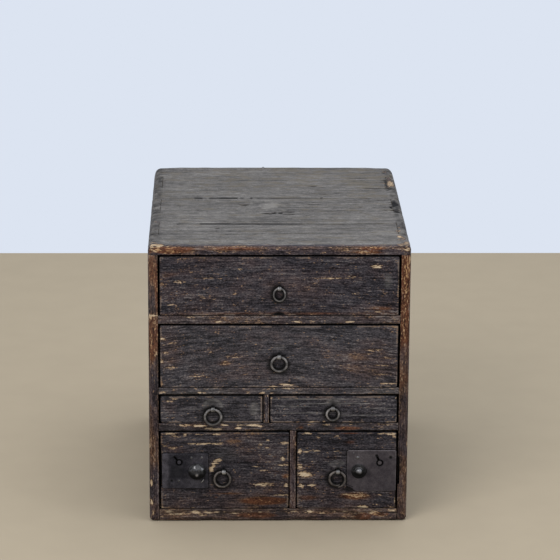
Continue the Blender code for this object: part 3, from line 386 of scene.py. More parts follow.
# The two locks. Places on their plates are X and Z, then sizes and heights, in millimetres
# Skirts and collars are pairs: a share of the knob's or the dome's radius, then a height
# Glints are places and sizes in radii, and strengths. Edge wear brightens a plate's edges, with a painted
# highlight along the top edge
LOCKS = {
    "left_lock": {
        "drawer": "lock_left_drawer",
        "iron": "left_plate_iron",
        "knob_half_ratio": 1.04,
        "skirt": ((0.9, 0.0), (1.0, 0.35)),
        "collar": (),
        "dome_radius": None,
        "dome_foot": 0.8,
        "dome_steps": (1, 18),
        "glints": ((-0.30, 0.72, 0.15, 0.65), (0.60, 0.46, 0.17, 0.55), (-0.03, -0.24, 0.17, 2.6)),
        "facets": 10,
        "rivets": ((-121.2, 95.4, 1.6, 0.5), (-106.8, 95.7, 1.5, 0.45), (-138.8, 61.2, 1.5, 0.35)),
        "holes": ((-148.7, 61.0, 1.9),),
        "bright": ((-157.8, 76, 4.6, 40, 0.75), (-109, 86, 16, 12, 0.36), (-125, 57, 30, 7, 0.48)),
        "edge_wear": 0.30,
        "dark_patches": ((-142, 74, 9, 9, 0.45),),
    },
    "right_lock": {
        "drawer": "lock_right_drawer",
        "iron": "right_plate_iron",
        "knob_half_ratio": 1.0,
        "skirt": ((0.97, 0.0), (1.0, 0.5), (0.96, 1.0)),
        "collar": ((1.35, 1.45), (1.12, 1.5)),
        "dome_radius": 5.6,
        "dome_foot": 1.7,
        "dome_steps": (0, 15),
        "glints": ((-0.35, 0.35, 0.40, 0.7), (0.25, 0.45, 0.35, 0.9), (0.3, 0.0, 0.35, 0.4)),
        "facets": 9,
        "rivets": ((110.2, 95.0, 2.2, 0.8), (104.7, 101.8, 1.0, 0.5)),
        "holes": ((156.4, 95.0, 2.3),),
        "bright": ((112, 95, 18, 12, 0.30), (103.5, 101.5, 5, 3, 0.30)),
        "edge_wear": 0.80,
        "dark_patches": (
            (97.2, 55.2, 1.0, 0.9, 0.90), (99.8, 53.4, 1.6, 0.5, 0.90), (103, 51.7, 1.8, 0.45, 0.90),
            (124, 72, 5, 5, 0.40), (99, 74, 4, 4, 0.30),
        ),
    },
}

# Knobs: how finely they are turned, their gap to the plate, how far the dome turns and its facets reach
KNOB_SEGMENTS = 56
KNOB_GAP = 0.3 * MM
DOME_TURN = math.pi / 2 * 0.985
FACET_REACH = 0.935
GOLDEN_ANGLE = math.pi * (3 - math.sqrt(5))

# How far the edges of lock plates and cases are rounded
PLATE_ROUND = 0.35 * MM
CASE_ROUND = 0.25 * MM

# Rings: how finely they are made, which are browner, which has open ends, how far some lean, in degrees
RING_STEPS = 88
RING_SIDES = 14
BROWN_RINGS = ("lock_left_drawer", "lock_right_drawer")
OPEN_RING = "lock_right_drawer"
OPEN_RING_START = math.radians(-78)
OPEN_RING_TURN = math.radians(376)
RING_LEANS = {"lock_left_drawer": 11.0, "lock_right_drawer": 5.0}

# How wide, in radians, and how deep, as a share of the wire, the eye has worn each ring
WORN_SPAN = 0.34
WORN_SHARE = 0.26

# Pins: the strip that they are bent from, its inset in the CAD pin, and how strong the rubbing and painted
# highlight at the front of some eyes are
PIN_HALF_THICKNESS = 0.65 * MM
PIN_EYE_SWELL = 0.15 * MM
PIN_LEG_OFFSET = 0.9 * MM
PIN_BEND = 1.2 * MM
PIN_STAND_OFF = 0.3 * MM
PIN_EYE_STEPS = 30
PIN_SIDES = 16
PIN_INSET = 0.3 * MM
EYE_SHINE = {"small_right_drawer": 0.75, "lock_left_drawer": 1.5, "lock_right_drawer": 0.75}

# A bent tack on the left plate at X and Z: its line on the plate, half length, rise and half thickness
TACK_PLACE = (-105.8, 61.3)
TACK_LINE = (0.62, 0.78)
TACK_STEPS = 14
TACK_HALF = 2.9 * MM
TACK_RISE = 1.7 * MM
TACK_SUNK = 0.3 * MM
TACK_WIRE = 0.75 * MM
TACK_SIDES = 10

# A nail end in the top at X and Y, as pairs of height and half width, in millimetres
STUD_PLACE = (-16.0, 217.0)
STUD_PROFILE = ((-4.0, 2.1), (-0.5, 2.1), (0.8, 1.9), (1.5, 1.3))

# Nails of the back panel, their heads as pairs of a share of the radius and a depth in millimetres
NAILS_ACROSS = 6
NAILS_UP = 7
NAIL_INSET = 7 * MM
NAIL_RADIUS = 1.9 * MM
NAIL_WANDER = 2 * MM
NAIL_PROFILE = ((1.0, 1.0), (1.0, 0.12), (0.8, -0.05), (0.15, -0.08))
NAIL_SIDES = 14

# How many sides the locks' rivets have
RIVET_SIDES = 18

# Open cracks in the top: X of the middle, Y, half length, half width, depth, in millimetres
CRACKS = (
    (-47.6, -2.0, 6, 2.4, 2.2), (54.3, -0.2, 8.5, 2.2, 2.2), (66.1, 38.0, 2.4, 3.0, 2.4),
    (-84.8, -130, 3.0, 2.2, 1.4), (158.8, -29, 8, 1.2, 1.4), (-14.0, -50.2, 9, 2.6, 2.4),
    (-3.4, -46.0, 3.0, 4.0, 2.8), (5.0, -46.5, 3.0, 4.2, 2.8), (16.0, -41.0, 9, 2.4, 2.4),
    (17.0, -53.0, 8, 2.4, 2.4), (101, -21.6, 20, 0.9, 0.9), (124, 154, 16, 1.2, 1.0),
    (146, 94.8, 17, 2.2, 1.4), (56, 107, 6, 2.0, 1.2), (-157.5, -1.8, 7, 1.3, 1.2),
    (-58, -46, 18, 0.7, 0.8), (70, 58, 50, 0.7, 0.7),
)

# Seams between the top's planks: the plank in front of it, then how open it is between pairs of X
SEAMS = (
    (
        "top_plank_front",
        (
            (-143, -128, 0.55), (-128, -111, 0.45), (-111, -68, 1.00), (-68, 5, 0.80), (5, 36, 0.60),
            (36, 150, 0.30),
        ),
    ),
    (
        "top_plank_middle",
        (
            (-158, -119, 0.35), (-118, -108, 0.90), (-107, -100, 0.40), (-99, -84, 0.75),
            (-83, -55, 1.00), (-54, -46, 0.60), (-38, -33, 1.00), (-30, 36, 0.50), (36, 140, 0.30),
        ),
    ),
)

# Marks on the top: X, Y, half length in X and in Y, attribute that they add to, strength
TOP_MARKS = (
    (168.0, 10, 6.0, 1.8, "dirt", 1.30), (171.0, -1, 4.5, 2.6, "dirt", 1.50),
    (169.0, -13, 6.0, 2.4, "dirt", 1.50), (173.0, -23, 3.6, 3.0, "dirt", 1.50),
    (170.0, -33, 5.0, 2.2, "dirt", 1.40), (174.0, -42, 3.0, 3.0, "dirt", 1.40),
    (172.0, -16, 3.0, 22, "dirt", 0.70), (158.0, -16, 10.0, 2, "dirt", 0.70),
    (165.0, 120, 1.2, 24, "dirt", 1.00), (170.0, 116, 5.0, 13, "chip", 0.92),
    (170.0, 116, 7.0, 16, "warm", 0.90), (170.0, 92, 4.5, 5, "dirt", 1.00),
    (170.0, 141, 5.0, 2, "dirt", 0.90), (167.0, -146, 3.5, 4, "chip", 0.95),
    (169.6, -125, 2.5, 4, "chip", 0.80), (167.0, -170, 4.0, 5, "chip", 1.00),
    (172.0, -181, 3.0, 5, "chip", 0.85), (175.0, -205, 4.0, 6, "chip", 0.95),
    (168.0, -214, 6.0, 5, "chip", 0.90), (171.0, 150, 4.0, 5, "chip", 0.60),
    (168.0, 190, 3.0, 6, "chip", 0.55), (-170.5, -15, 3.0, 5, "pale", 0.45),
    (-170.5, 1, 4.5, 6, "dirt", 0.55), (-171.0, -33, 4.5, 4, "dirt", 0.60),
    (-172.0, -60, 4.0, 5, "dirt", 0.40), (-170.0, -95, 4.0, 4, "chip", 0.55),
    (-171.0, -120, 4.0, 9, "dirt", 0.40), (-169.0, -165, 4.0, 9, "dirt", 0.40),
    (-170.0, 40, 4.5, 8, "dirt", 0.40), (-169.0, 100, 5.0, 22, "dirt", 0.40),
    (-168.0, -217, 9.0, 7, "chip", 0.95), (-146.0, -221, 13.0, 4, "chip", 0.55),
    (-165.0, -150, 1.0, 50, "dirt", 0.30), (-167.5, -20, 1.0, 30, "dirt", 0.40),
    (-10, -6, 11, 16, "pale", 0.42), (-135, -54, 12, 18, "pale", 0.16),
    (-104, -66, 10, 14, "pale", 0.12), (150, -150, 14, 12, "pale", 0.16), (56, 108, 6, 6, "warm", 0.80),
    (138, 95, 24, 6, "warm", 0.80), (40, 118, 40, 20, "warm", 0.50), (-40, 130, 60, 26, "warm", 0.45),
    (130, 150, 40, 50, "warm", 0.60), (-150, 0, 40, 150, "dirt", 0.07), (0, 70, 110, 30, "dirt", 0.05),
    (150, -190, 24, 18, "dirt", 0.10), (100, 40, 60, 14, "warm", 0.35), (0, 170, 170, 40, "warm", 0.35),
)


def hash_unit(cell_x, cell_y, cell_z, seed):
    """A repeatable value from 0 to 1 for each lattice point."""
    mixed = cell_x.astype(np.uint32) * np.uint32(374761393)
    mixed = mixed + cell_y.astype(np.uint32) * np.uint32(668265263)
    mixed = mixed + cell_z.astype(np.uint32) * np.uint32(2246822519)
    mixed = mixed + np.uint32((seed * 3266489917) % 4294967296)
    mixed = (mixed ^ (mixed >> np.uint32(13))) * np.uint32(1274126177)
    mixed = mixed ^ (mixed >> np.uint32(16))
    return mixed.astype(np.float64) / 4294967295.0


def smooth_noise(points, size, seed):
    """Smooth noise from -1 to 1. size is the length of a cell along each axis, in millimetres."""
    cells = points / (np.asarray(size) * MM)
    base = np.floor(cells).astype(np.int64)
    part = cells - base
    part = part * part * (3 - 2 * part)
    total = np.zeros(len(points))
    for corner in itertools.product((0, 1), repeat=3):
        weight = np.ones(len(points))
        for axis in range(3):
            weight = weight * (part[:, axis] if corner[axis] else 1 - part[:, axis])
        lattice = [base[:, axis] + corner[axis] for axis in range(3)]
        total += weight * hash_unit(*lattice, seed)
    return total * 2 - 1


def rough_noise(points, name):
    """Layers of the named noise, each half as large and half as strong as the one before."""
    size, seed = NOISE[name]
    total = np.zeros(len(points))
    for octave in range(NOISE_LAYERS):
        layer = smooth_noise(points, np.asarray(size) / 2**octave, seed + 17 * octave)
        total += layer / 2**octave
    return total


def unit(values):
    """Holds values between 0 and 1."""
    return np.clip(values, 0, 1)


def rise(distance, start, width):
    """0 up to start, then rising to 1 over width. Both are millimetres."""
    return unit((distance - start * MM) / (width * MM))


def bell(distance, width):
    """1 at no distance, falling off to both sides over a width in millimetres."""
    return np.exp(-((distance / (width * MM)) ** 2))


def fade(distance, width):
    """1 at no distance, fading out over a width in millimetres."""
    return np.exp(-distance / (width * MM))


def spot_reach(points, axes, place, halves):
    """How far points lie from a spot's middle, 1 being its half size. The spot is given in millimetres."""
    spans = [(points[:, axis] - at * MM) / (half * MM) for axis, at, half in zip(axes, place, halves)]
    return np.hypot(*spans)


def middle(node):
    """The middle of a node's box."""
    low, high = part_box(node)
    return (low + high) / 2


def edge_gaps(points, node):
    """How far inside the left, right, lower and upper edge of a node's front points lie."""
    low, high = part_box(node)
    x, z = points[:, 0], points[:, 2]
    return np.stack([x - low.x, high.x - x, z - low.z, high.z - z])


class Tree:
    """Builds a node tree."""

    def __init__(self, tree):
        self.tree = tree
        tree.nodes.clear()

    def set(self, socket, value):
        """Gives a socket a plain value, or links it."""
        if isinstance(value, bpy.types.NodeSocket):
            self.tree.links.new(value, socket)
        elif socket.type == "RGBA":
            socket.default_value = (*value, 1.0)
        else:
            socket.default_value = value

    def node(self, kind, inputs, **settings):
        """A new node, with its settings, and values or links for its inputs by name or number."""
        node = self.tree.nodes.new(f"ShaderNode{kind}")
        for name, value in settings.items():
            setattr(node, name, value)
        for name, value in inputs.items():
            self.set(node.inputs[name], value)
        return node

    def calc(self, operation, first, second=0.0):
        return self.node("Math", {0: first, 1: second}, operation=operation).outputs[0]


class Shade(Tree):
    """Builds one node material."""

    def __init__(self, name):
        self.material = bpy.data.materials.new(name)
        self.material.use_nodes = True
        super().__init__(self.material.node_tree)
        self.surface = self.node("BsdfPrincipled", {})
        self.node("OutputMaterial", {"Surface": self.surface.outputs[0]})
        self.place = self.node("TexCoord", {}).outputs["Object"]

    def finish(self, colour, roughness, specular, metallic=0.0):
        """Sets the surface shader and gives the material."""
        inputs = self.surface.inputs
        self.set(inputs["Base Color"], colour)
        self.set(inputs["Roughness"], roughness)
        self.set(inputs["Specular IOR Level"], specular)
        self.set(inputs["Metallic"], metallic)
        return self.material

    def attribute(self, name):
        return self.node("Attribute", {}, attribute_name=name).outputs["Fac"]

    def lift_place(self, name):
        """Raises the place that noise is read at by an attribute in metres, so that the grain can curve."""
        lift = self.node("CombineXYZ", {"Z": self.attribute(name)}).outputs[0]
        self.place = self.node("VectorMath", {0: self.place, 1: lift}).outputs[0]

    def noise(self, cell, detail=2.0, rough=0.5, shift=0.0, distortion=0.0):
        """Noise from 0 to 1. cell is the length of a feature along each axis, in millimetres."""
        scale = [1.0 / (size * MM) for size in cell]
        location = (shift, shift * 1.7, shift * 0.6)
        mapping = self.node("Mapping", {"Vector": self.place, "Scale": scale, "Location": location})
        inputs = {"Vector": mapping.outputs[0], "Scale": 1.0, "Detail": detail}
        inputs |= {"Roughness": rough, "Distortion": distortion}
        return self.node("TexNoise", inputs).outputs["Fac"]

    def grain(self, axis, along, across, *settings):
        """Noise that is long along the grain."""
        return self.noise([along if index == axis else across for index in range(3)], *settings)

    def total(self, *terms):
        """Adds values and (value, weight) pairs."""
        result = None
        for term in terms:
            if isinstance(term, tuple):
                term = self.calc("MULTIPLY", *term)
            result = term if result is None else self.calc("ADD", result, term)
        return result

    def limit(self, value, low, high, out_low=0.0, out_high=1.0):
        """Maps low..high to out_low..out_high smoothly, and holds it there beyond."""
        inputs = {"Value": value, "From Min": low, "From Max": high, "To Min": out_low, "To Max": out_high}
        return self.node("MapRange", inputs, interpolation_type="SMOOTHSTEP").outputs["Result"]

    def ramp(self, value, *stops):
        """A colour that follows a value through stops of position and colour."""
        node = self.node("ValToRGB", {"Fac": value})
        elements = node.color_ramp.elements
        while len(elements) < len(stops):
            elements.new(0.5)
        for element, (position, colour) in zip(elements, stops):
            element.position = position
            element.color = (*colour, 1.0)
        return node.outputs["Color"]

    def mix(self, share, under, over):
        return self.node("Mix", {"Factor": share, 6: under, 7: over}, data_type="RGBA").outputs[2]

    def bump(self, height, depth, strength):
        """Bump from a height of 0 to 1. depth is in millimetres."""
        node = self.node("Bump", {"Strength": strength, "Distance": depth * MM, "Height": height})
        self.set(self.surface.inputs["Normal"], node.outputs["Normal"])


def lacquered_wood(name, axis):
    """Dark stained and lacquered wood, worn through to brown, tan and grey where its attributes say so."""
    shade = Shade(name)
    shade.lift_place("curve")
    fine = shade.grain(axis, 12, 1.6, 3.0, 0.65)
    speck = shade.grain(axis, 2.4, 1.5, 1.0, 0.5, 21.3)
    long = shade.grain(axis, 70, 2.0, 3.0, 0.60, 11.3)
    medium = shade.grain(axis, 30, 10, 3.0, 0.60, 3.1)
    broad = shade.grain(axis, 100, 44, 2.0, 0.5, 7.7)
    fleck = shade.grain(axis, 6.0, 1.7, 2.0, 0.6, 5.9)
    spot = shade.grain(axis, 26, 11, 3.0, 0.6, 2.3)
    names = ("chip", "brown", "wear", "scuff", "grey", "dirt", "pale", "warm")
    chip, brown, wear, scuff, grey, dirt, pale, warm = map(shade.attribute, names)

    value = shade.total((fine, 0.32), (long, 0.22), (speck, 0.23), (medium, 0.11), (broad, 0.12))
    lacquer = shade.ramp(
        value,
        (0.408, (0.0036, 0.0033, 0.0046)),
        (0.460, (0.0150, 0.0136, 0.0174)),
        (0.505, (0.0370, 0.0335, 0.0408)),
        (0.550, (0.0650, 0.0592, 0.0680)),
        (0.615, (0.1150, 0.1040, 0.1100)),
    )
    plum = shade.ramp(
        value,
        (0.408, (0.0068, 0.0046, 0.0054)),
        (0.460, (0.0245, 0.0168, 0.0187)),
        (0.508, (0.0550, 0.0382, 0.0410)),
        (0.550, (0.0880, 0.0636, 0.0646)),
        (0.622, (0.1520, 0.1170, 0.1120)),
    )
    stain = shade.ramp(
        value,
        (0.408, (0.0096, 0.0053, 0.0038)),
        (0.460, (0.0355, 0.0200, 0.0138)),
        (0.508, (0.0840, 0.0472, 0.0315)),
        (0.560, (0.1580, 0.0870, 0.0525)),
        (0.622, (0.2450, 0.1450, 0.0850)),
    )
    orange = shade.ramp(
        value,
        (0.42, (0.030, 0.011, 0.006)),
        (0.54, (0.132, 0.046, 0.021)),
        (0.66, (0.245, 0.105, 0.050)),
    )
    browning = shade.total((broad, 0.50), (spot, 0.50), (brown, 0.30), (wear, 0.08), (chip, 0.20))
    colour = shade.mix(shade.limit(browning, 0.44, 0.72, 0.0, 0.90), lacquer, plum)
    colour = shade.mix(shade.limit(browning, 0.64, 0.92, 0.0, 0.95), colour, stain)
    colour = shade.mix(shade.limit(brown, 0.80, 1.25, 0.0, 0.85), colour, orange)

    scuffing = shade.total(
        (fine, 0.45), (speck, 0.30), (long, 0.25), (broad, 0.20), (scuff, 0.07), (wear, 0.05)
    )
    scuffed = shade.limit(scuffing, 0.72, 0.80, 0.0, 0.80)
    colour = shade.mix(scuffed, colour, SCUFFED)
    # Worn edges turn lighter, partly as a painted highlight along the arrises
    worn_and_lit_edging = shade.total((wear, 0.42), (fine, 0.60), (speck, 0.40), (medium, 0.40))
    colour = shade.mix(shade.limit(worn_and_lit_edging, 0.98, 1.22, 0.0, 0.85), colour, WORN_AND_LIT_EDGE)

    baring = shade.total((chip, 0.50), (fleck, 1.70), (fine, 0.90), (speck, 0.60), -1.60)
    chipped = shade.limit(baring, 0.30, 0.50)
    calm = shade.limit(brown, -0.35, 0.15, -0.05, 0.0)
    loosening = ((fleck, 0.50), (speck, 0.30), (spot, 0.40), (broad, 0.15), (wear, 0.06), (scuff, 0.05))
    flecked = shade.limit(shade.total(*loosening, calm), 0.820, 0.872, 0.0, 0.92)
    bared = shade.calc("MAXIMUM", chipped, flecked)
    bare = shade.ramp(
        shade.total((fine, 0.60), (fleck, 0.30), (chip, 0.26), (flecked, 0.06)),
        (0.42, (0.120, 0.066, 0.038)),
        (0.58, (0.270, 0.170, 0.100)),
        (0.72, (0.470, 0.350, 0.228)),
        (0.88, (0.680, 0.560, 0.410)),
    )
    bare = shade.mix(shade.limit(brown, 0.95, 1.45, 0.0, 0.65), bare, STAINED_BARE)
    colour = shade.mix(bared, colour, bare)

    plank = shade.grain(axis, 130, 7.5, 4.0, 0.62, 13.7)
    short = shade.grain(axis, 13, 5.5, 3.0, 0.6, 17.9)
    weathered = shade.ramp(
        shade.total((plank, 0.28), (short, 0.24), (speck, 0.18), (fine, 0.18), (broad, 0.12)),
        (0.40, (0.040, 0.0375, 0.0370)),
        (0.46, (0.090, 0.0843, 0.0820)),
        (0.53, (0.143, 0.1350, 0.1310)),
        (0.62, (0.262, 0.2480, 0.2390)),
    )
    warming = shade.limit(shade.total(spot, (warm, 0.22)), 0.50, 0.74, 0.0, 0.70)
    weathered = shade.mix(warming, weathered, WARM_GREY)
    lined = shade.limit(shade.total((plank, 0.5), (long, 0.5)), 0.57, 0.67, 0.0, 0.62)
    weathered = shade.mix(lined, weathered, GRAIN_LINE)
    greyed = shade.limit(shade.total(grey, (fine, 0.8), -0.40), 0.40, 0.60)
    colour = shade.mix(greyed, colour, weathered)
    smeared = shade.calc("MULTIPLY", pale, shade.limit(fine, 0.34, 0.62, 0.45, 1.25))
    colour = shade.mix(smeared, colour, PALE_SMEAR)
    # Grime, and painted shade in the gaps, round the plates and round the rings
    colour = shade.mix(dirt, colour, GRIME_AND_SHADE)

    shade.bump(shade.total((fine, 0.60), (long, 0.30), (medium, 0.15), (bared, -0.30)), 0.40, 0.8)
    roughness = shade.total((fine, 0.25), (bared, 0.22), (greyed, 0.20), (scuffed, 0.12), 0.40)
    return shade.finish(colour, roughness, 0.12)


def bare_wood(name, axis, light):
    """Unfinished, hand-planed softwood of the drawers' insides and the back."""
    shade = Shade(name)
    fine = shade.grain(axis, 50, 1.6, 3.0, 0.6)
    rings = shade.grain(axis, 420, 9, 2.0, 0.5, 4.0, 0.6)
    stain = shade.noise((70, 55, 60), 3.0, 0.6, 8.0)
    wood = shade.ramp(
        shade.total((fine, 0.4), (rings, 0.6)),
        (0.36, tuple(light * part for part in (0.30, 0.185, 0.100))),
        (0.50, tuple(light * part for part in (0.46, 0.315, 0.185))),
        (0.66, tuple(light * part for part in (0.62, 0.455, 0.290))),
    )
    colour = shade.mix(shade.limit(stain, 0.46, 0.72, 0.0, 0.55), wood, BARE_STAIN)
    soiled = shade.limit(shade.attribute("warm"), 0.0, 1.0, 0.0, 0.65)
    colour = shade.mix(soiled, colour, BARE_SOIL)
    shade.bump(shade.total((fine, 0.6), (rings, 0.4)), 0.3, 0.6)
    return shade.finish(colour, shade.total((fine, 0.2), (stain, 0.15), 0.55), 0.25)


def worked_iron(name, dark, light, rust, rough, metal):
    """Forged iron: dark scale, worn brighter on its high places and lighter under painted highlights, with a
    little rust, and black with soot and painted shade where its dirt field says.
    """
    shade = Shade(name)
    grain = shade.noise((1.3, 1.3, 1.3), 3.0, 0.6)
    cloud = shade.noise((7, 7, 7), 3.0, 0.55, 4.4)
    pits = shade.noise((0.7, 0.7, 0.7), 2.0, 0.5, 9.1)
    dirt = shade.attribute("dirt")
    value = shade.total((grain, 0.50), (cloud, 0.50), (shade.attribute("wear"), 0.30), -0.10)
    half_worn = tuple((a + 0.6 * b) / 2 for a, b in zip(dark, light))
    colour = shade.ramp(value, (0.34, dark), (0.54, half_worn), (0.82, light))
    rusted = shade.limit(shade.total((cloud, 0.6), (pits, 0.4)), 0.55, 0.68, 0.0, 0.6)
    colour = shade.mix(rusted, colour, rust)
    colour = shade.mix(dirt, colour, SOOT_AND_SHADE)
    shade.bump(shade.total((grain, 0.4), (cloud, 0.4), (pits, 0.2)), 0.25, 0.7)
    roughness = shade.total((grain, 0.22), (cloud, 0.16), (rusted, 0.2), (dirt, 0.4), rough)
    return shade.finish(colour, roughness, 0.30, metal)


def stage_paper(name, colour):
    """Plain matt stage surface."""
    shade = Shade(name)
    mottle = shade.noise((60, 60, 60), 2.0, 0.5)
    paper = shade.ramp(mottle, (0.3, tuple(0.97 * part for part in colour)), (0.7, colour))
    return shade.finish(paper, 0.9, 0.1)


MATERIALS = {name: lacquered_wood(name, axis) for name, axis in LACQUERED_WOODS.items()}
MATERIALS |= {name: bare_wood(name, *values) for name, values in BARE_WOODS.items()}
MATERIALS |= {name: worked_iron(name, *values) for name, values in IRONS.items()}


def spread(low, high, step, cuts):
    """Even places between two ends, with closer ones near both. Ends are metres, the rest millimetres."""
    count = max(1, round((high - low) / (step * MM)))
    places = [low + (high - low) * index / count for index in range(1, count)]
    near = max(cuts, default=0.0) * MM
    room = step * MM * 0.4
    places = [place for place in places if low + near + room < place < high - near - room]
    places += [low + cut * MM for cut in cuts] + [high - cut * MM for cut in cuts]
    return sorted(place for place in set(places) if low < place < high)


def everywhere(place):
    """Says that any place of a board shows."""
    return True


def board_copy(node):
    """A CAD node's mesh, welded and with its flat faces whole."""
    board = bmesh.new()
    board.from_mesh(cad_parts[node].data)
    bmesh.ops.remove_doubles(board, verts=board.verts, dist=WELD_GAP)
    bmesh.ops.dissolve_limit(board, angle_limit=FLAT_ANGLE, verts=board.verts, edges=board.edges)
    return board


def cut_board(board, axis, places, shows):
    """Cuts the faces that show by planes across one axis."""
    faces = [face for face in board.faces if shows(face.calc_center_median())]
    edges = {edge for face in faces for edge in face.edges}
    verts = {vert for face in faces for vert in face.verts}
    geometry = [*verts, *edges, *faces]
    normal = Vector((0.0, 0.0, 0.0))
    normal[axis] = 1.0
    for place in places:
        result = bmesh.ops.bisect_plane(
            board, geom=geometry, plane_co=normal * place, plane_no=normal, dist=CUT_GAP
        )
        geometry = result["geom"]


def cut_front(board, cuts, shows):
    """Cuts a board across its depth, at distances behind the chest's front in millimetres."""
    cut_board(board, 1, [FRONT + cut * MM for cut in cuts], shows)


def sharp_edges(board, shows):
    """Sharp outer edges that show: both ends, and the normals of the two faces that meet there."""
    found = []
    for edge in board.edges:
        if len(edge.link_faces) != 2 or edge.calc_face_angle_signed() < SHARP_ANGLE:
            continue
        start, end = (np.array(vert.co) for vert in edge.verts)
        if shows((start + end) / 2):
            normals = [np.array(face.normal) for face in edge.link_faces]
            found.append((start, end, *normals))
    return found


def envelope_depth(points):
    """Signed distance from the carcass's outer shell, less than 0 inside it."""
    centre = (ENVELOPE_LOW + ENVELOPE_HIGH) / 2
    half = (ENVELOPE_HIGH - ENVELOPE_LOW) / 2
    reach = np.abs(points - centre) - (half - CAD_EDGE_RADIUS)
    outside = np.linalg.norm(np.maximum(reach, 0), axis=1)
    return outside + np.minimum(reach.max(axis=1), 0) - CAD_EDGE_RADIUS


def on_shell(points):
    """Which points lie on the carcass's outer shell."""
    return envelope_depth(points) > -SHELL_DEPTH


def envelope_edge(points):
    """Distance along the shell from its nearest edge: the second smallest distance to its six sides."""
    gaps = np.sort(np.minimum(points - ENVELOPE_LOW, ENVELOPE_HIGH - points), axis=1)
    return np.maximum(gaps[:, 1], 0)


def rounded(points, low, high, radius):
    """Points drawn onto a box with round edges, and how far from that box's core they were."""
    size = radius[:, None]
    core = np.clip(points, low + size, high - size)
    away = points - core
    length = np.maximum(np.linalg.norm(away, axis=1), NO_LENGTH)
    return core + away / length[:, None] * size, length


def mesh_arrays(mesh):
    """A mesh's points and their normals."""
    flat = np.zeros(len(mesh.vertices) * 3)
    mesh.vertices.foreach_get("co", flat)
    points = flat.reshape(-1, 3).copy()
    mesh.vertex_normals.foreach_get("vector", flat)
    return points, flat.reshape(-1, 3)


def add_piece(mesh, fields, body, slot, *nodes):
    """Paints a mesh and makes it a piece that rides on a body, in place of CAD nodes if any are named."""
    for name, values in fields.items():
        layer = mesh.attributes.new(name, "FLOAT", "POINT")
        held = np.clip(values, FIELD_LOW.get(name, 0.0), FIELD_HIGH)
        layer.data.foreach_set("value", held.astype(np.float32))
    mesh.polygons.foreach_set("use_smooth", [True] * len(mesh.polygons))
    mesh.set_sharp_from_angle(angle=SHARP_ANGLE)
    piece = bpy.data.objects.new(mesh.name, mesh)
    bpy.context.scene.collection.objects.link(piece)
    if nodes:
        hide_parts(*nodes)
    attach(piece, body)


class Piece:
    """The visible copy of a board, as arrays that the wear works on. Each of FIELDS is one of them."""

    def __init__(self, node, board, edges):
        self.node = node
        self.edges = edges
        self.mesh = bpy.data.meshes.new(f"worn_{node}")
        board.to_mesh(self.mesh)
        board.free()
        self.rest, self.normals = mesh_arrays(self.mesh)
        self.points = self.rest.copy()
        self.nearest = np.ones(len(self.rest))
        for name in FIELDS:
            setattr(self, name, np.zeros(len(self.rest)))

    def round_edges(self, radius):
        """Rounds the sharp edges over. radius holds one value per point."""
        for start, end, normal_a, normal_b in self.edges:
            along = end - start
            share = unit((self.rest - start) @ along / (along @ along))
            foot = start + share[:, None] * along
            gap = np.linalg.norm(self.rest - foot, axis=1)
            self.nearest = np.minimum(self.nearest, gap)
            centre = foot - radius[:, None] * (normal_a + normal_b)
            away = self.points - centre
            length = np.linalg.norm(away, axis=1)
            outside = (away @ normal_a > 0) & (away @ normal_b > 0)
            moved = outside & (gap < radius * 1.2) & (length > radius)
            self.points[moved] = (centre + away / length[:, None] * radius[:, None])[moved]

    def round_envelope(self, radius):
        """Wears the chest's outer edges and corners round. radius holds one value per point."""
        target, length = rounded(self.rest, ENVELOPE_LOW, ENVELOPE_HIGH, radius)
        moved = (on_shell(self.rest) & (length > WELD_GAP)) | (length > radius)
        self.points[moved] = target[moved]

    def sink(self, depth):
        """Moves points inwards by a depth in millimetres."""
        self.points -= self.normals * (depth * MM)[:, None]

    def hidden_faces(self):
        """1 for each face that only shows with the drawers open, 0 for the others."""
        flat = np.zeros(len(self.mesh.polygons) * 3)
        self.mesh.polygons.foreach_get("center", flat)
        centres = flat.reshape(-1, 3).copy()
        self.mesh.polygons.foreach_get("normal", flat)
        hidden = (flat.reshape(-1, 3)[:, 1] > 0.5) | (centres[:, 1] > FRONT + INNER_START)
        return (hidden & (envelope_depth(centres) < -INNER_DEPTH)).astype(np.int32)

    def finish(self, body, slot, material, inner=None):
        """Makes the object. Faces that are only seen with the drawers open take the inner material."""
        self.mesh.vertices.foreach_set("co", self.points.ravel())
        self.mesh.update()
        self.mesh.materials.append(MATERIALS[material])
        if inner:
            self.mesh.materials.append(MATERIALS[inner])
            self.mesh.polygons.foreach_set("material_index", self.hidden_faces())
        add_piece(self.mesh, {name: getattr(self, name) for name in FIELDS}, body, slot, self.node)


def gap_grime_and_shade(points):
    """Black in the gaps around the drawers and between the boards: painted shade, and grime."""
    behind = points[:, 1] - FRONT
    fading = 1 - 0.35 * rise(behind, 9, 8)
    return 0.97 * rise(behind, 0.8, 1.2) * fading * (envelope_depth(points) < -0.8 * MM)


def spots(points, axes, marks, start, slope=1.0):
    """How strongly listed spots cover points: fully near their middles, and less further out."""
    field = np.zeros(len(points))
    for across, along, half_across, half_along, strength in marks:
        reach = spot_reach(points, axes, (across, along), (half_across, half_along))
        field = np.maximum(field, strength * unit(start - slope * reach))
    return field


def front_marks(points, marks):
    """How strongly listed marks cover points of the front."""
    return spots(points, FRONT_AXES, marks, 1.6) * (1 - rise(points[:, 1] - FRONT, 2, 4))


def add_marks(piece):
    """Listed chips, brown places and smears of a board's front."""
    piece.chip = np.maximum(piece.chip, front_marks(piece.rest, CHIPS.get(piece.node, ())))
    piece.brown += front_marks(piece.rest, BROWNED.get(piece.node, ()))
    piece.pale += front_marks(piece.rest, SMEARS.get(piece.node, ()))


def chip_depth(piece, noise):
    """How deep the wood is chipped out, from 0 to 1, ragged at the edges of a chip."""
    return unit(piece.chip - 0.3 - 0.35 * rough_noise(piece.rest, noise))


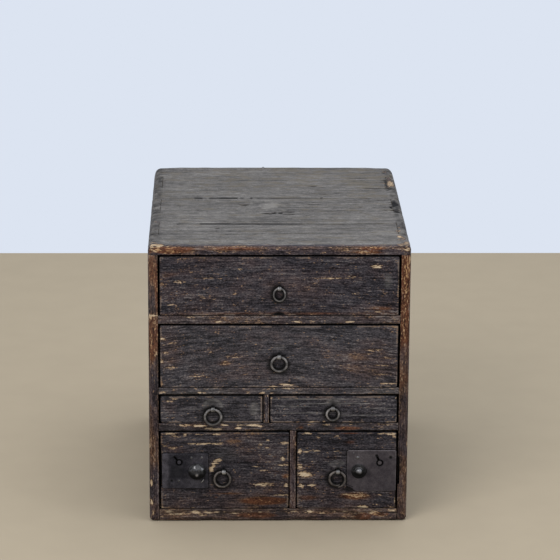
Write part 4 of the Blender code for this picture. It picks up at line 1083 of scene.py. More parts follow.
def nicks(points, noise, least, depth):
    """Small nicks, where a noise is above its least value."""
    return unit(rough_noise(points, noise) - least) * depth


def ring_centre(drawer):
    """The middle of a ring, which hangs a little to one side of its pin on some drawers."""
    eye = middle(f"{drawer}_pin")
    centre = middle(f"{drawer}_ring")
    hang = eye.z - centre.z
    lean = math.radians(RING_LEANS.get(drawer, 0.0))
    return Vector((eye.x - hang * math.sin(lean), centre.y, eye.z - hang * math.cos(lean)))


def ring_grime_and_shadow(points, drawer):
    """Dark on the wood behind a ring, along its wire and above its eye: grime, and the ring's painted shadow,
    wider to the left.
    """
    low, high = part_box(f"{drawer}_ring")
    eye = middle(f"{drawer}_pin")
    centre = ring_centre(drawer)
    half_x = (high.x - low.x) / 2 - 1.5 * MM
    half_z = (high.z - low.z) / 2 - 1.5 * MM
    across = points[:, 0] - centre.x
    reach = np.hypot(across / half_x, (points[:, 2] - centre.z + 1.0 * MM) / half_z)
    wander = 1 + 0.4 * smooth_noise(points, *NOISE["ring_grime_and_shadow"])
    apart = (reach - 1) * half_x / MM
    leftward = unit(0.5 - across / (2.4 * half_x))
    # Painted shadow of the wire, inside it and beyond it, reaching further out on the left
    within = unit(1.5 - np.abs(apart + 1.6) / (2.8 * wander))
    beyond = unit(1.5 - apart / ((3.0 + 2.4 * leftward) * wander)) * (apart > 0)
    eye_gap = np.hypot(points[:, 0] - eye.x, points[:, 2] - eye.z - 1.5 * MM)
    return np.maximum.reduce([0.98 * within, 0.95 * beyond, 1.1 * bell(eye_gap / wander, 4.2)])


def add_rubs(piece):
    """Arcs that the swinging rings have rubbed bare or polished."""
    for node, pin, reach, thickness, start, stop, strength in RUBS:
        if node != piece.node:
            continue
        eye = middle(pin)
        across = piece.rest[:, 0] - eye.x
        up = piece.rest[:, 2] - eye.z
        distance = np.hypot(across, up)
        angle = (np.degrees(np.arctan2(up, across)) - start) % 360 + start
        inside = strength * unit((angle - start) / RUB_RAMP) * unit((stop - angle) / RUB_RAMP)
        arc = inside * unit(1.6 - np.abs(distance - reach * MM) / (thickness * MM))
        if strength > BARE_RUB:
            piece.chip = np.maximum(piece.chip, arc)
        else:
            disc = inside * (1 - rise(distance, reach - 2, 2))
            piece.scuff += 1.2 * arc
            piece.pale = np.maximum.reduce([piece.pale, arc * 0.55, disc * 0.30])


def plate_shadow(points, drawer):
    """Painted shadow: a dark line on the wood around a lock's plate."""
    darkening = np.zeros(len(points))
    for lock, spec in LOCKS.items():
        if spec["drawer"] == drawer:
            outside = np.maximum(-edge_gaps(points, f"{lock}_plate"), 0)
            darkening = 0.85 * bell(np.hypot(outside[:2].max(axis=0), outside[2:].max(axis=0)), 1.3)
    return darkening


def front_piece(node, skin, deep_cuts, steps, up_cuts, edge_depth):
    """A board that shows at the front, cut finely down to its skin's depth in millimetres."""
    low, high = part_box(node)
    board = board_copy(node)

    def shows(place):
        return place[1] < FRONT + skin * MM

    cut_front(board, [skin], everywhere)
    edges = sharp_edges(board, lambda place: place[1] < FRONT + edge_depth * MM)
    cut_front(board, deep_cuts, shows)
    cut_board(board, 0, spread(low.x, high.x, steps[0], EDGE_CUTS), shows)
    cut_board(board, 2, spread(low.z, high.z, steps[1], up_cuts), shows)
    piece = Piece(node, board, edges)
    in_front = piece.rest[:, 1] < FRONT + skin * MM - WELD_GAP
    return piece, in_front


def build_front(drawer):
    """A drawer front with rounded, chipped arrises."""
    node = f"{drawer}_front"
    low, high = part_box(node)
    piece, in_front = front_piece(node, FRONT_SKIN, EDGE_CUTS, FRONT_STEPS, EDGE_CUTS, EDGE_DEPTH)
    rest = piece.rest
    gaps = np.sort(edge_gaps(rest, node), axis=0)
    corner = unit(1 - np.hypot(gaps[0], gaps[1]) / (9 * MM))
    radius = (np.clip(1.5 + 0.9 * rough_noise(rest, "front_edge"), 0.7, 3.0) + 1.6 * corner) * MM
    target, length = rounded(rest, np.array((low.x, FRONT, low.z)), np.array((high.x, BACK, high.z)), radius)
    moved = (length > radius) & in_front
    piece.points[moved] = target[moved]

    add_marks(piece)
    nick = nicks(rest, "front_nick", 0.72, 1.2)
    torn = 2.5 * unit(1.5 - spot_reach(rest, FRONT_AXES, NICK_PLACE, NICK_HALVES))
    wave = 0.10 * rough_noise(rest, "front_wave")
    depth = 0.55 * chip_depth(piece, "chip_along") + nick + torn + 0.10 + wave
    piece.sink(depth * unit(-piece.normals[:, 1]) * in_front)

    # The worn edge line lies a little inside the arris, partly a painted highlight where it catches light
    broken = np.clip(0.7 + 1.5 * rough_noise(rest, "front_worn"), 0, 1.5)
    piece.wear = bell(gaps[0] - 1.8 * MM, 1.2) * EDGE_LIGHT.get(drawer, 1.0) * broken * in_front
    aside = rest[:, 0] - middle(node).x
    ends = np.abs(aside) / ((high.x - low.x) / 2)
    piece.scuff = np.clip(0.25 + 0.75 * ends**1.5 + 0.3 * rough_noise(rest, "front_scuff"), 0, 1.2)
    ragged = np.clip(0.7 + 0.9 * rough_noise(rest, "front_foot"), 0, 1.3)
    foot = FOOT_BLACKENING.get(drawer, 0.0) * ragged * bell(rest[:, 2] - low.z, 1.9)
    # A black band along the very edge of the front, painted shade where the arris turns into the gap
    rim_shade = 0.92 * bell(gaps[0], 0.9)
    darkening = np.maximum.reduce([ring_grime_and_shadow(rest, drawer), plate_shadow(rest, drawer), foot, rim_shade])
    darkening = np.clip(0.5 * nick + torn + darkening, 0, 0.96) * in_front
    lowest = 1 - rise(rest[:, 2], 30, 40)
    brown, pale, dark, arch = FRONT_TONES[drawer]
    piece.dirt = np.maximum.reduce([darkening, gap_grime_and_shade(rest), dark * (1 + 0.5 * lowest)])
    piece.brown += brown + 0.22 * lowest + 0.30 * rough_noise(rest, "front_brown")
    piece.pale += pale * in_front
    piece.curve = arch * aside**2
    add_rubs(piece)
    return piece


def build_rail(node, noise, steps):
    """The worn front of a shelf, a partition or the bottom board."""
    is_bottom = node == "bottom_board"
    edge_depth = RAIL_SKIN if is_bottom else EDGE_DEPTH
    piece, in_front = front_piece(node, RAIL_SKIN, ROUND_CUTS[:5], steps, EDGE_CUTS[:3], edge_depth)
    rest = piece.rest
    wander = rough_noise(rest, noise)
    if is_bottom:
        piece.round_envelope(CAD_EDGE_RADIUS + 1.2 * MM * wander)
    piece.round_edges(np.clip(1.1 + 0.8 * wander, 0.5, 2.4) * MM)

    add_marks(piece)
    depth = 0.5 * chip_depth(piece, "chip_along") + nicks(rest, "rail_nick", 0.72, 1.2) + 0.08 + 0.08 * wander
    piece.sink(depth * unit(-piece.normals[:, 1]) * in_front)

    pale, brown, soil = RAIL_TONES[node]
    piece.wear = fade(piece.nearest, 1.4) * (0.8 + 0.5 * wander) * in_front
    piece.scuff = np.clip(0.75 + 0.4 * wander, 0, 1.2)
    piece.pale = unit(pale * (1 + 0.6 * wander)) * in_front
    piece.brown += brown * in_front
    shadow = 0.22 * (1 - rise(rest[:, 2], 0, 7))
    soiled = np.clip(soil * (0.2 + 1.3 * rough_noise(rest, "rail_soil")), 0, 0.6) * in_front
    piece.dirt = np.maximum.reduce([gap_grime_and_shade(rest), shadow, soiled])
    return piece


def shell_radius(rest):
    """How far the chest's outer edges are worn round, point by point."""
    rear = rise(rest[:, 1] - BACK, -40, 28)
    beside = rise(np.abs(rest[:, 0]) - ENVELOPE_HIGH[0], -40, 28)
    above = rise(rest[:, 2] - TOP, -40, 28)
    radius = 5.6 + 1.5 * rough_noise(rest, "shell")
    radius += 4.0 * rear * beside * (0.5 + 0.5 * above) + 1.5 * beside * above
    return np.clip(radius, 3.2, 13.0) * MM


def top_cracks(points):
    """Depth of the open cracks in the top, in millimetres."""
    bent = points.copy()
    bent[:, 1] -= 0.5 * MM * smooth_noise(points, *NOISE["crack"])
    return spots(bent, TOP_AXES, CRACKS, 1.25)


def seam_opening(points):
    """How open the nearest seam between planks is at each point, from 0 to 1."""
    opening = np.zeros(len(points))
    for plank, spans in SEAMS:
        near = np.abs(points[:, 1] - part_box(plank)[1].y) < 6 * MM
        for start, stop, strength in spans:
            inside = near & (points[:, 0] > start * MM) & (points[:, 0] < stop * MM)
            opening[inside] = strength
    return opening


def add_top_marks(piece, share):
    """Listed marks of the top. share limits them to the points that face up."""
    ragged = 1 + 0.60 * rough_noise(piece.rest, "top_mark")
    for x, y, half_x, half_y, field, strength in TOP_MARKS:
        reach = spot_reach(piece.rest, TOP_AXES, (x, y), (half_x, half_y))
        mark = strength * unit(1.7 - reach * ragged) * share
        setattr(piece, field, np.maximum(getattr(piece, field), mark))
        if field == "chip":
            piece.grey *= 1 - unit(1.4 * mark)


def top_grey(points):
    """Where the top has weathered grey. Its front margin stays brown."""
    ragged = 3.0 * MM * rough_noise(points, "top_grey")
    return rise(points[:, 1] - FRONT - ragged, 9, 3) * rise(points[:, 2] - TOP, -6, 3)


def top_mottle(piece, share, least, most):
    """Blotches of grime near the ends of the top, none of them on chips."""
    blotches = np.clip(least + 0.5 * rough_noise(piece.rest, "top_mottle"), 0, most)
    return share * blotches * (1 - unit(piece.chip))


def build_side(node):
    """A side board: worn outer edges, fingers that pass through the top, a scuffed outer face."""
    sign, brown, bare, pale, dirt = SIDE_TONES[node]
    low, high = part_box(node)
    inner, outer = (low.x, high.x) if sign > 0 else (high.x, low.x)
    board = board_copy(node)

    def shows(place):
        return abs(place[0]) > abs(inner) + 0.5 * MM or place[1] < FRONT + 0.1 * MM

    edges = sharp_edges(board, everywhere)
    cut_front(board, MARGIN_CUTS, everywhere)
    cut_board(board, 0, sorted(outer - sign * cut * MM for cut in ROUND_CUTS), shows)
    cut_board(board, 1, spread(low.y, high.y, SIDE_STEPS[0], CORNER_CUTS), shows)
    cut_board(board, 2, spread(low.z, high.z, SIDE_STEPS[1], CORNER_CUTS), shows)
    piece = Piece(node, board, edges)
    rest = piece.rest
    wander = rough_noise(rest, "side_edge")
    shell = on_shell(rest)
    finger = rise(rest[:, 2] - TOP, -5.5, 4) * unit(piece.normals[:, 2] * 1.5 + 0.1)
    piece.round_envelope(shell_radius(rest))
    piece.round_edges(np.clip(0.8 + 0.7 * wander, 0.3, 2.0) * (1 - 0.6 * finger) * MM)

    add_marks(piece)
    gouge = front_marks(rest, GOUGES.get(node, ()))
    depth = 0.6 * chip_depth(piece, "chip_upright") + nicks(rest, "side_nick", 0.75, 1.3)
    depth += 1.6 * gouge + 0.12 + 0.12 * rough_noise(rest, "side_wave")
    piece.sink(depth * shell)

    shell_edge = fade(envelope_edge(rest), 5.0) * shell
    piece.wear = np.maximum(shell_edge * (0.6 + 0.5 * wander), 0.8 * fade(piece.nearest, 1.5))
    piece.scuff = np.clip(0.5 + 0.5 * rough_noise(rest, "side_scuff"), 0, 1.2)
    in_front = 1 - rise(rest[:, 1] - FRONT, 0, 7)
    higher = rise(rest[:, 2], 170, 120) * in_front
    piece.brown += 0.35 * shell + 0.30 * shell_edge + 0.25 * in_front * (1 + wander) + brown * higher
    piece.pale += pale * higher
    piece.dirt += dirt * (1 - higher) * in_front + 0.9 * gouge
    piece.chip = np.maximum(piece.chip, (0.12 * in_front + bare * higher) * (1 + 0.9 * wander))
    piece.grey = finger * top_grey(rest)
    add_top_marks(piece, finger)
    piece.dirt = np.maximum.reduce([piece.dirt, top_mottle(piece, finger, 0.30, 0.75), gap_grime_and_shade(rest)])
    piece.sink(1.6 * unit(piece.dirt - 0.75) * finger)
    return piece


def build_plank(node):
    """One plank of the weathered top."""
    low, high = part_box(node)
    board = board_copy(node)

    def shows(place):
        return place[2] > PLANK_FOOT + 0.5 * MM

    edges = sharp_edges(board, lambda place: place[2] > PLANK_FOOT + 1 * MM)
    if node == "top_plank_front":
        cut_front(board, MARGIN_CUTS, everywhere)
    cut_board(board, 2, [TOP - cut * MM for cut in reversed(ROUND_CUTS)], shows)
    cut_board(board, 0, spread(low.x, high.x, PLANK_STEPS[0], CORNER_CUTS), shows)
    cut_board(board, 1, spread(low.y, high.y, PLANK_STEPS[1], CORNER_CUTS[:6]), shows)
    piece = Piece(node, board, edges)
    rest = piece.rest
    wander = rough_noise(rest, "plank_edge")
    opening = seam_opening(rest)
    shell = on_shell(rest)
    upward = unit(piece.normals[:, 2])
    piece.round_envelope(shell_radius(rest))
    piece.round_edges(np.clip(0.35 + 0.25 * wander + 1.9 * opening, 0.2, 2.4) * MM)

    piece.grey = top_grey(rest)
    add_marks(piece)
    add_top_marks(piece, upward)
    crack = top_cracks(rest) * upward
    depth = nicks(rest, "plank_nick", 0.78, 1.0) + 0.5 * unit(piece.chip - 0.3) + 1.6 * unit(piece.dirt - 0.5)
    depth += 0.2 + 0.14 * rough_noise(rest, "plank_wave") + 0.14 * rough_noise(rest, "plank_ridge")
    piece.sink((depth + crack) * shell)

    shell_edge = fade(envelope_edge(rest), 4.0) * shell
    piece.wear = np.maximum(shell_edge * (0.7 + 0.5 * wander), 0.4 * fade(piece.nearest, 1.5))
    piece.scuff = np.clip(0.6 + 0.4 * wander, 0, 1.2)
    ahead = unit(-piece.normals[:, 1])
    margin = bell(envelope_edge(rest) - 2 * MM, 3.5) * (rest[:, 1] < FRONT + 12 * MM)
    piece.brown += 0.24 * ahead + 0.55 * margin
    piece.chip = np.maximum(piece.chip, np.maximum(0.16 * margin, 0.09 * ahead) * (1 + 0.8 * wander))
    mottle = top_mottle(piece, rise(np.abs(rest[:, 0]) - INNER, -1, 3), 0.25, 0.7)
    seam = fade(piece.nearest, 0.5 + 3.8 * opening) * (0.20 + 1.3 * opening)
    # Cracks are dark with grime and painted shade; open seams and blotches are dark with grime
    dirt = np.clip(crack / 0.7 + (seam + mottle) * upward, 0, 0.97)
    piece.dirt = np.maximum.reduce([piece.dirt, dirt, gap_grime_and_shade(rest)])
    return piece


def build_bare_board(node):
    """A bare board of a drawer, or the back: planed by hand, softened and soiled along its edges."""
    low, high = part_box(node)
    board = board_copy(node)
    edges = sharp_edges(board, everywhere)
    for axis in range(3):
        cut_board(board, axis, spread(low[axis], high[axis], BARE_STEP, BARE_CUTS), everywhere)
    piece = Piece(node, board, edges)
    rest = piece.rest
    piece.round_edges(np.clip(0.7 + 0.4 * rough_noise(rest, "bare_edge"), 0.3, 1.1) * MM)
    piece.sink(0.07 + 0.05 * rough_noise(rest, "bare_plane"))
    soil = fade(piece.nearest, 7) * (0.7 + 0.5 * rough_noise(rest, "bare_soil"))
    piece.warm = unit(soil + 0.25 * rough_noise(rest, "bare_stain"))
    return piece


def bridge(board, rings, closed):
    """Skins rings of points that follow each other, and caps both ends unless they close on themselves."""
    pairs = list(zip(rings, rings[1:]))
    if closed:
        pairs.append((rings[-1], rings[0]))
    for first, second in pairs:
        for index in range(len(first)):
            after = (index + 1) % len(first)
            board.faces.new((first[index], first[after], second[after], second[index]))
    if not closed:
        board.faces.new(rings[0][::-1])
        board.faces.new(rings[-1])


def sweep(board, sections, count, power, closed=False):
    """A rounded bar through sections: a place, two directions across the bar, and its half size in each."""
    rings = []
    for place, side, up, half_side, half_up in sections:
        ring = []
        for index in range(count):
            angle = 2 * math.pi * index / count
            cosine, sine = math.cos(angle), math.sin(angle)
            across = math.copysign(abs(cosine) ** power, cosine) * half_side
            along = math.copysign(abs(sine) ** power, sine) * half_up
            ring.append(board.verts.new(Vector(place) + across * Vector(side) + along * Vector(up)))
        rings.append(ring)
    bridge(board, rings, closed)


def lathe(board, centre, profile, segments, half_ratio=1.0):
    """A body turned about Y, wider in X by half_ratio. profile holds radii and how far ahead they lie."""
    rings = []
    for radius, ahead in profile:
        ring = []
        for index in range(segments):
            angle = 2 * math.pi * index / segments
            offset = Vector((radius * half_ratio * math.cos(angle), -ahead, radius * math.sin(angle)))
            ring.append(board.verts.new(Vector(centre) + offset))
        rings.append(ring)
    bridge(board, rings, False)


def front_rub(places, normals):
    """Brighter where iron stands out towards the front, with no soot."""
    rubbed_and_lit = unit(-normals[:, 1]) * (0.7 + 0.6 * rough_noise(places, "iron_rub_and_highlight"))
    return rubbed_and_lit, np.zeros(len(places))


def iron_piece(name, board, body, slot, material, *nodes, paint=front_rub):
    """Finishes an iron fitting. paint says where it is bright, from rubbing and painted highlights, and where
    it is dark, from soot and painted shade.
    """
    bmesh.ops.recalc_face_normals(board, faces=board.faces)
    mesh = bpy.data.meshes.new(name)
    board.to_mesh(mesh)
    board.free()
    rubbed_and_lit, soot_and_shade = paint(*mesh_arrays(mesh))
    mesh.materials.append(MATERIALS[material])
    add_piece(mesh, {"wear": rubbed_and_lit, "dirt": soot_and_shade}, body, slot, *nodes)


def build_ring(drawer):
    """A forged ring: uneven wire, and for one drawer ends that lap past each other."""
    node = f"{drawer}_ring"
    low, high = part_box(node)
    wire = (high.y - low.y) / 2
    centre = ring_centre(drawer)
    across = (high.x - low.x) / 2 - wire
    down = (high.z - low.z) / 2 - wire
    is_open = drawer == OPEN_RING
    turn = Matrix.Rotation(math.radians(RING_LEANS.get(drawer, 0.0)), 3, "Y")
    sections = []
    for step in range(RING_STEPS):
        share = step / (RING_STEPS - 1) if is_open else step / RING_STEPS
        angle = OPEN_RING_START + share * OPEN_RING_TURN if is_open else share * 2 * math.pi
        spot = np.array([(math.cos(angle) * 5 * MM, math.sin(angle) * 5 * MM, centre.x)])
        uneven = float(smooth_noise(spot, *NOISE["ring_wire"])[0])
        apart, taper, lap = 0.0, 1.0, 0.12 * MM * uneven
        if is_open:
            apart = (1.1 - 2.1 * share) * MM
            taper = 0.5 + 0.5 * min(1.0, min(share, 1 - share) / 0.12)
            lap = (share - 0.5) * 1.6 * MM
        out = Vector((math.cos(angle), 0.0, math.sin(angle)))
        place = Vector(((across + apart) * out.x, lap, (down + apart) * out.z))
        place = centre + turn @ (place + out * 0.15 * MM * uneven)
        at_eye = math.exp(-((math.acos(max(-1.0, min(1.0, out.z))) / WORN_SPAN) ** 2))
        half = wire * taper * (1 + 0.07 * uneven) * (1 - WORN_SHARE * at_eye)
        sections.append((place, turn @ out, (0.0, 1.0, 0.0), half, half))
    board = bmesh.new()
    sweep(board, sections, RING_SIDES, 0.92, not is_open)

    def paint(places, normals):
        """Brighter along the outer front of the wire, rubbed and a painted highlight; painted shade on its
        inner side.
        """
        out = places - np.array(centre)
        out[:, 1] = 0.0
        out /= np.maximum(np.linalg.norm(out, axis=1), NO_LENGTH)[:, None]
        inward = -np.sum(normals * out, axis=1)
        uneven = 0.9 + 1.2 * smooth_noise(places, *NOISE["ring_rub_and_highlight"])
        return unit(0.30 - 0.35 * normals[:, 1]) * uneven, 0.95 * unit(1.5 * inward - 0.15)

    material = "brown_iron" if drawer in BROWN_RINGS else "grey_iron"
    iron_piece(f"forged_{node}", board, f"{drawer}_pull", "forged_iron", material, node, paint=paint)


def build_pin(drawer):
    """A split pin: one strip bent round into an eye, its two legs through the front and clinched behind."""
    node = f"{drawer}_pin"
    low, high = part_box(node)
    centre = middle(node)
    rear = high.y - PIN_HALF_THICKNESS
    eye = (FRONT - PIN_STAND_OFF - low.y) / 2 - PIN_HALF_THICKNESS
    eye_y = low.y + PIN_HALF_THICKNESS + eye
    opening = math.asin(PIN_LEG_OFFSET / eye)
    leg = [(rear, high.z - centre.z, 0.0), (rear, PIN_LEG_OFFSET + PIN_BEND, 0.0)]
    leg.append((rear - PIN_BEND, PIN_LEG_OFFSET, 0.0))
    strip = list(leg)
    for step in range(PIN_EYE_STEPS + 1):
        angle = opening + step * (2 * math.pi - 2 * opening) / PIN_EYE_STEPS
        strip.append((eye_y + eye * math.cos(angle), eye * math.sin(angle), max(0.0, -math.cos(angle))))
    strip += [(y, -z, swell) for y, z, swell in reversed(leg)]
    path = [Vector((centre.x, y, centre.z + z)) for y, z, swell in strip]
    across = Vector((1.0, 0.0, 0.0))
    sections = []
    for index, (y, z, swell) in enumerate(strip):
        tangent = path[min(index + 1, len(path) - 1)] - path[max(index - 1, 0)]
        width = (high.x - low.x) / 2 - PIN_INSET + PIN_EYE_SWELL * swell
        sections.append((path[index], across, tangent.normalized().cross(across), width, PIN_HALF_THICKNESS))
    board = bmesh.new()
    sweep(board, sections, PIN_SIDES, 0.6)

    def paint(places, normals):
        """Brighter at the front of the eye, rubbed and a painted highlight; dark further back, painted shade
        and grime.
        """
        rubbed_and_lit = np.clip(0.6 - 0.5 * normals[:, 1], 0, 1.2) * (0.9 + 0.5 * rough_noise(places, "pin_rub_and_highlight"))
        return rubbed_and_lit * EYE_SHINE.get(drawer, 1.0), 0.96 * rise(places[:, 1] - low.y, 0.5, 1.1)

    iron_piece(f"forged_{node}", board, drawer, "forged_iron", "eye_iron", node, paint=paint)


def facet_cut(direction, facets):
    """How far a hammered dome reaches in a direction, 1 being the round dome itself."""
    reach = 1.0
    for index in range(facets):
        height = 1 - (index + 0.4) / facets
        ring = math.sqrt(max(0.0, 1 - height * height))
        angle = index * GOLDEN_ANGLE + 0.6
        facing = Vector((ring * math.cos(angle), height, ring * math.sin(angle)))
        cosine = direction.dot(facing)
        if cosine > 0.3:
            reach = min(reach, (FACET_REACH + 0.012 * math.sin(7.0 * index)) / cosine)
    return reach


def build_bolt(lock):
    """A lock's bolt, with a knob that has been hammered into facets."""
    node = f"{lock}_bolt"
    spec = LOCKS[lock]
    ratio = spec["knob_half_ratio"]
    low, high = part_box(node)
    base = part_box(f"{lock}_plate")[0].y - KNOB_GAP
    board = board_copy(node)
    knob = [face for face in board.faces if face.calc_center_median().y < base + 0.05 * MM]
    across = [vert.co.x for face in knob for vert in face.verts]
    centre_x = (min(across) + max(across)) / 2
    centre_z = (low.z + high.z) / 2
    radius = (high.z - low.z) / 2
    dome = spec["dome_radius"] * MM if spec["dome_radius"] else radius
    foot = spec["dome_foot"] * MM
    height = base - low.y - foot
    bmesh.ops.delete(board, geom=knob, context="FACES")
    bmesh.ops.holes_fill(board, edges=[edge for edge in board.edges if edge.is_boundary])
    profile = [(radius * share, ahead * MM) for share, ahead in spec["skirt"]]
    profile += [(dome * share, ahead * MM) for share, ahead in spec["collar"]]
    first_step, last_step = spec["dome_steps"]
    for step in range(first_step, last_step + 1):
        angle = step / last_step * DOME_TURN
        profile.append((dome * math.cos(angle), foot + height * math.sin(angle)))
    first = len(board.verts)
    lathe(board, (centre_x, base, centre_z), profile, KNOB_SEGMENTS, ratio)
    board.verts.ensure_lookup_table()
    for vert in board.verts[first:]:
        ahead = base - vert.co.y - foot
        flat = Vector(((vert.co.x - centre_x) / ratio, 0.0, vert.co.z - centre_z))
        if ahead <= 0 or flat.length > dome * 1.01:
            continue
        direction = Vector((flat.x / dome, ahead / height, flat.z / dome))
        reach = facet_cut(direction.normalized(), spec["facets"])
        vert.co.x = centre_x + flat.x * ratio * reach
        vert.co.z = centre_z + flat.z * reach
        vert.co.y = base - foot - ahead * reach

    def paint(places, normals):
        """Painted light from above and painted glints on the dome, painted shade beneath it, and its foot
        dark.
        """
        over = (places[:, 2] - centre_z) / dome
        side = (places[:, 0] - centre_x) / dome
        rubbed_and_lit = unit(0.04 + 0.26 * over) * (1 + 0.5 * rough_noise(places, "iron_rub_and_highlight"))
        soot_and_shade = np.maximum(np.clip(0.55 - 1.6 * over, 0, 0.97), 0.70 * unit((np.hypot(over, side) - 1.05) * 9))
        for at_side, up, size, strength in spec["glints"]:
            glint = np.exp(-((side - at_side) ** 2 + (over - up) ** 2) / size**2)
            rubbed_and_lit += strength * glint
            soot_and_shade *= 1 - glint
        return rubbed_and_lit, soot_and_shade

    iron_piece(f"worn_{node}", board, f"{lock}_slider", "black_iron", "knob_iron", node, paint=paint)


def patches(points, marks):
    """How strongly soft patches cover points of a plate."""
    return spots(points, FRONT_AXES, marks, 2.2, 1.6)


def build_case(lock):
    """A lock's case: worn bright with a painted highlight at the tip of its key post, black with painted
    shade behind the plate.
    """
    node = f"{lock}_case"
    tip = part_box(node)[0].y
    board = board_copy(node)
    edges = sharp_edges(board, everywhere)
    cut_board(board, 1, [tip + cut * MM for cut in CASE_CUTS], everywhere)
    piece = Piece(node, board, edges)
    piece.round_edges(np.full(len(piece.rest), CASE_ROUND))
    behind = piece.rest[:, 1] - tip
    piece.wear = 0.5 * (behind < 0.5 * MM)
    piece.dirt = 0.95 * rise(behind, 0.3, 1)
    piece.finish(LOCKS[lock]["drawer"], "black_iron", LOCKS[lock]["iron"])


def build_plate(lock):
    """A sheet-iron lock plate: softened edges, shallow hammer marks, a nail hole."""
    node = f"{lock}_plate"
    spec = LOCKS[lock]
    low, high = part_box(node)
    board = board_copy(node)

    def shows(place):
        return place[1] < high.y - 0.2 * MM

    edges = sharp_edges(board, lambda place: place[1] < low.y + 0.3 * MM)
    cut_board(board, 1, [low.y + cut * MM for cut in PLATE_DEEP_CUTS], shows)
    cut_board(board, 0, spread(low.x, high.x, PLATE_STEP, PLATE_CUTS), shows)
    cut_board(board, 2, spread(low.z, high.z, PLATE_STEP, PLATE_CUTS), shows)
    piece = Piece(node, board, edges)
    rest = piece.rest
    piece.round_edges(np.full(len(rest), PLATE_ROUND))
    depth = 0.06 + 0.06 * rough_noise(rest, "plate_hammer") + 0.05 * rough_noise(rest, "plate_dent")
    dirt = np.zeros(len(rest))
    # Nail holes are sunk, and black inside with painted shade
    for x, z, radius in spec["holes"]:
        reach = spot_reach(rest, FRONT_AXES, (x, z), (radius, radius))
        depth += 0.7 * unit(1.3 - reach)
        dirt = np.maximum(dirt, unit(1.5 - reach))
    piece.sink(depth * (rest[:, 1] < low.y + 0.1 * MM))
    inside = edge_gaps(rest, node)
    nearest_edge = inside.min(axis=0)
    # Edges are worn bright, with a painted highlight along the top edge
    piece.wear = spec["edge_wear"] * (fade(nearest_edge, 0.7) + 0.5 * fade(inside[3], 1.0))
    piece.wear += 0.3 * rough_noise(rest, "plate_cloud") + patches(rest, spec["bright"])
    # The edge of the keyhole is black with painted shade
    keyhole = 0.95 * unit(1.9 - piece.nearest / (0.7 * MM)) * (nearest_edge > 3 * MM)
    piece.dirt = np.maximum.reduce([dirt, keyhole, patches(rest, spec["dark_patches"])])
    piece.finish(spec["drawer"], "black_iron", spec["iron"])


def build_rivets(lock):
    """Low round rivet heads on a lock's plate."""
    spec = LOCKS[lock]
    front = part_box(f"{lock}_plate")[0].y
    rivets = bmesh.new()
    for x, z, radius, height in spec["rivets"]:
        profile = [(radius * MM, -0.1 * MM), (radius * MM, 0.05 * MM)]
        for step in range(1, 5):
            angle = step * 0.3
            profile.append((radius * MM * math.cos(angle), height * MM * math.sin(angle)))
        profile.append((radius * MM * 0.08, height * MM))
        lathe(rivets, (x * MM, front, z * MM), profile, RIVET_SIDES)
    iron_piece(f"{lock}_rivets", rivets, spec["drawer"], "black_iron", "knob_iron")


def build_tack():
    """A bent tack at the lower inner corner of the left plate."""
    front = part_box("left_lock_plate")[0].y
    line_x, line_z = TACK_LINE
    sections = []
    for step in range(TACK_STEPS + 1):
        angle = math.pi * step / TACK_STEPS
        cosine, sine = math.cos(angle), math.sin(angle)
        along = -cosine * TACK_HALF
        y = front - (sine * TACK_RISE - TACK_SUNK)
        place = (TACK_PLACE[0] * MM + along * line_x, y, TACK_PLACE[1] * MM + along * line_z)
        tilt = Vector((sine * line_x, 0.0, sine * line_z)) * -cosine
        up = (tilt + Vector((0.0, -sine - 0.001, 0.0))).normalized()
        sections.append((place, (line_z, 0.0, -line_x), up, TACK_WIRE, TACK_WIRE))
    board = bmesh.new()
    sweep(board, sections, TACK_SIDES, 1.0)
    iron_piece("left_lock_tack", board, "lock_left_drawer", "black_iron", "grey_iron")


def build_stud():
    """A nail end that stands up near the back edge of the top."""
    sections = []
    for height, half in STUD_PROFILE:
        place = (STUD_PLACE[0] * MM, STUD_PLACE[1] * MM, TOP + height * MM)
        sections.append((place, (1.0, 0.0, 0.0), (0.0, 1.0, 0.0), half * MM, half * MM))
    board = bmesh.new()
    sweep(board, sections, NAIL_SIDES, 0.8)
    iron_piece("top_stud", board, "carcass", "black_iron", "knob_iron")


def build_nails():
    """Nails round the edge of the back panel, their heads driven almost flush."""
    low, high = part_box("back_panel")
    left, right = low.x + NAIL_INSET, high.x - NAIL_INSET
    lower, upper = low.z + NAIL_INSET, high.z - NAIL_INSET
    places = []
    for x in np.linspace(left, right, NAILS_ACROSS):
        places += [(x, lower), (x, upper)]
    for z in np.linspace(lower, upper, NAILS_UP)[1:-1]:
        places += [(left, z), (right, z)]
    nails = bmesh.new()
    for index, (x, z) in enumerate(places):
        radius = NAIL_RADIUS * (1 + 0.12 * math.sin(5.0 * index))
        aside = NAIL_WANDER * math.sin(2.3 * index)
        profile = [(radius * share, depth * MM) for share, depth in NAIL_PROFILE]
        lathe(nails, (x + aside, high.y, z + aside * 0.4), profile, NAIL_SIDES)
    iron_piece("back_nails", nails, "carcass", "black_iron", "knob_iron")


def build_stage():
    """A plain pale floor. The backdrop is the world's colour."""
    mesh = bpy.data.meshes.new("floor")
    corners = [(x * FLOOR_HALF, y * FLOOR_HALF, 0.0) for x, y in ((-1, -1), (1, -1), (1, 1), (-1, 1))]
    mesh.from_pydata(corners, [], [(0, 1, 2, 3)])
    mesh.materials.append(stage_paper("stage_floor", FLOOR_COLOUR))
    floor = bpy.data.objects.new("floor", mesh)
    bpy.context.scene.collection.objects.link(floor)


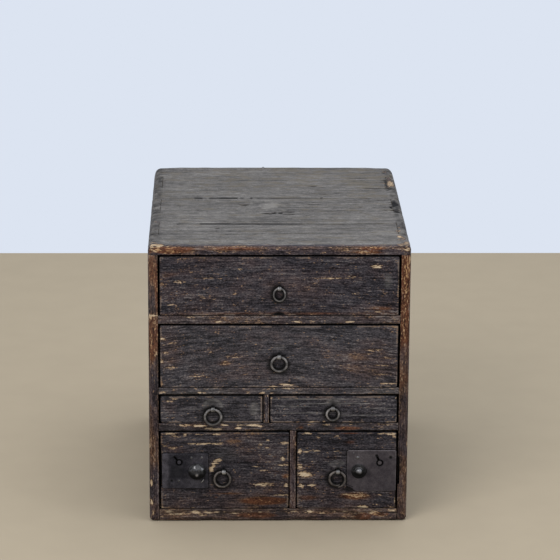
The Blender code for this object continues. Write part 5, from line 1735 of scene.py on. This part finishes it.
def build_light():
    """Soft lamps, and a world that lights plainly and shows as the pale backdrop."""
    scene = bpy.context.scene
    for name, place, size, power, colour in LAMPS:
        lamp = bpy.data.lights.new(name, "AREA")
        lamp.shape = "RECTANGLE"
        lamp.size, lamp.size_y = size
        lamp.energy = power
        lamp.color = colour
        holder = bpy.data.objects.new(name, lamp)
        holder.location = place
        aim = LAMP_TARGET - Vector(place)
        holder.rotation_euler = aim.to_track_quat("-Z", "Y").to_euler()
        scene.collection.objects.link(holder)
    scene.world = bpy.data.worlds.new("studio")
    scene.world.use_nodes = True
    sky = Tree(scene.world.node_tree)
    ambient = sky.node("Background", {"Color": AMBIENT_COLOUR, "Strength": AMBIENT_STRENGTH})
    backdrop = sky.node("Background", {"Color": BACKDROP_COLOUR})
    rays = sky.node("LightPath", {}).outputs
    seen = sky.calc("MAXIMUM", rays["Is Camera Ray"], rays["Is Glossy Ray"])
    seen = sky.calc("MAXIMUM", seen, rays["Is Transmission Ray"])
    shown = sky.node("MixShader", {0: seen, 1: ambient.outputs[0], 2: backdrop.outputs[0]})
    sky.node("OutputWorld", {"Surface": shown.outputs[0]})


def build_camera():
    """The photograph's view."""
    sight = Vector((
        math.sin(CAMERA_YAW) * math.cos(CAMERA_PITCH),
        math.cos(CAMERA_YAW) * math.cos(CAMERA_PITCH),
        -math.sin(CAMERA_PITCH),
    ))
    level = Vector((math.cos(CAMERA_YAW), -math.sin(CAMERA_YAW), 0.0))
    down = sight.cross(level)
    right = math.cos(CAMERA_ROLL) * level + math.sin(CAMERA_ROLL) * down
    lower = -math.sin(CAMERA_ROLL) * level + math.cos(CAMERA_ROLL) * down
    turn = Matrix((right, -lower, -sight)).transposed().to_4x4()
    data = bpy.data.cameras.new("photo_camera")
    data.lens = CAMERA_LENS
    data.sensor_width = CAMERA_SENSOR
    camera = bpy.data.objects.new("photo_camera", data)
    camera.matrix_world = Matrix.Translation(CAMERA_PLACE) @ turn
    bpy.context.scene.collection.objects.link(camera)
    bpy.context.scene.camera = camera


for drawer in DRAWERS:
    build_front(drawer).finish(drawer, "dark_carcass_wood", "lacquered_wood_along", "bare_wood_across")
for rail in RAIL_TONES:
    if rail.startswith("partition"):
        board = build_rail(rail, "rail_upright", FRONT_STEPS[::-1])
        board.finish("carcass", "dark_carcass_wood", "lacquered_wood_upright", "bare_wood_deep")
    else:
        board = build_rail(rail, "rail_along", FRONT_STEPS)
        board.finish("carcass", "dark_carcass_wood", "lacquered_wood_along", "bare_wood_across")
for side in SIDE_TONES:
    build_side(side).finish("carcass", "dark_carcass_wood", "lacquered_wood_upright", "bare_wood_upright")
for plank in ("top_plank_front", "top_plank_middle", "top_plank_back"):
    build_plank(plank).finish("carcass", "weathered_top_wood", "lacquered_wood_along", "bare_wood_across")
for drawer in DRAWERS:
    for part in ("side_left", "side_right", "back", "bottom"):
        wood = "bare_wood_across" if part == "back" else "bare_wood_deep"
        build_bare_board(f"{drawer}_{part}").finish(drawer, "bare_wood", wood)
    build_pin(drawer)
    build_ring(drawer)
build_bare_board("back_panel").finish("carcass", "bare_wood", "aged_back_wood")
build_nails()
build_stud()
for lock in LOCKS:
    build_plate(lock)
    build_rivets(lock)
    build_bolt(lock)
    build_case(lock)
build_tack()
build_stage()
build_light()
build_camera()
bpy.context.scene.view_settings.view_transform = "Standard"
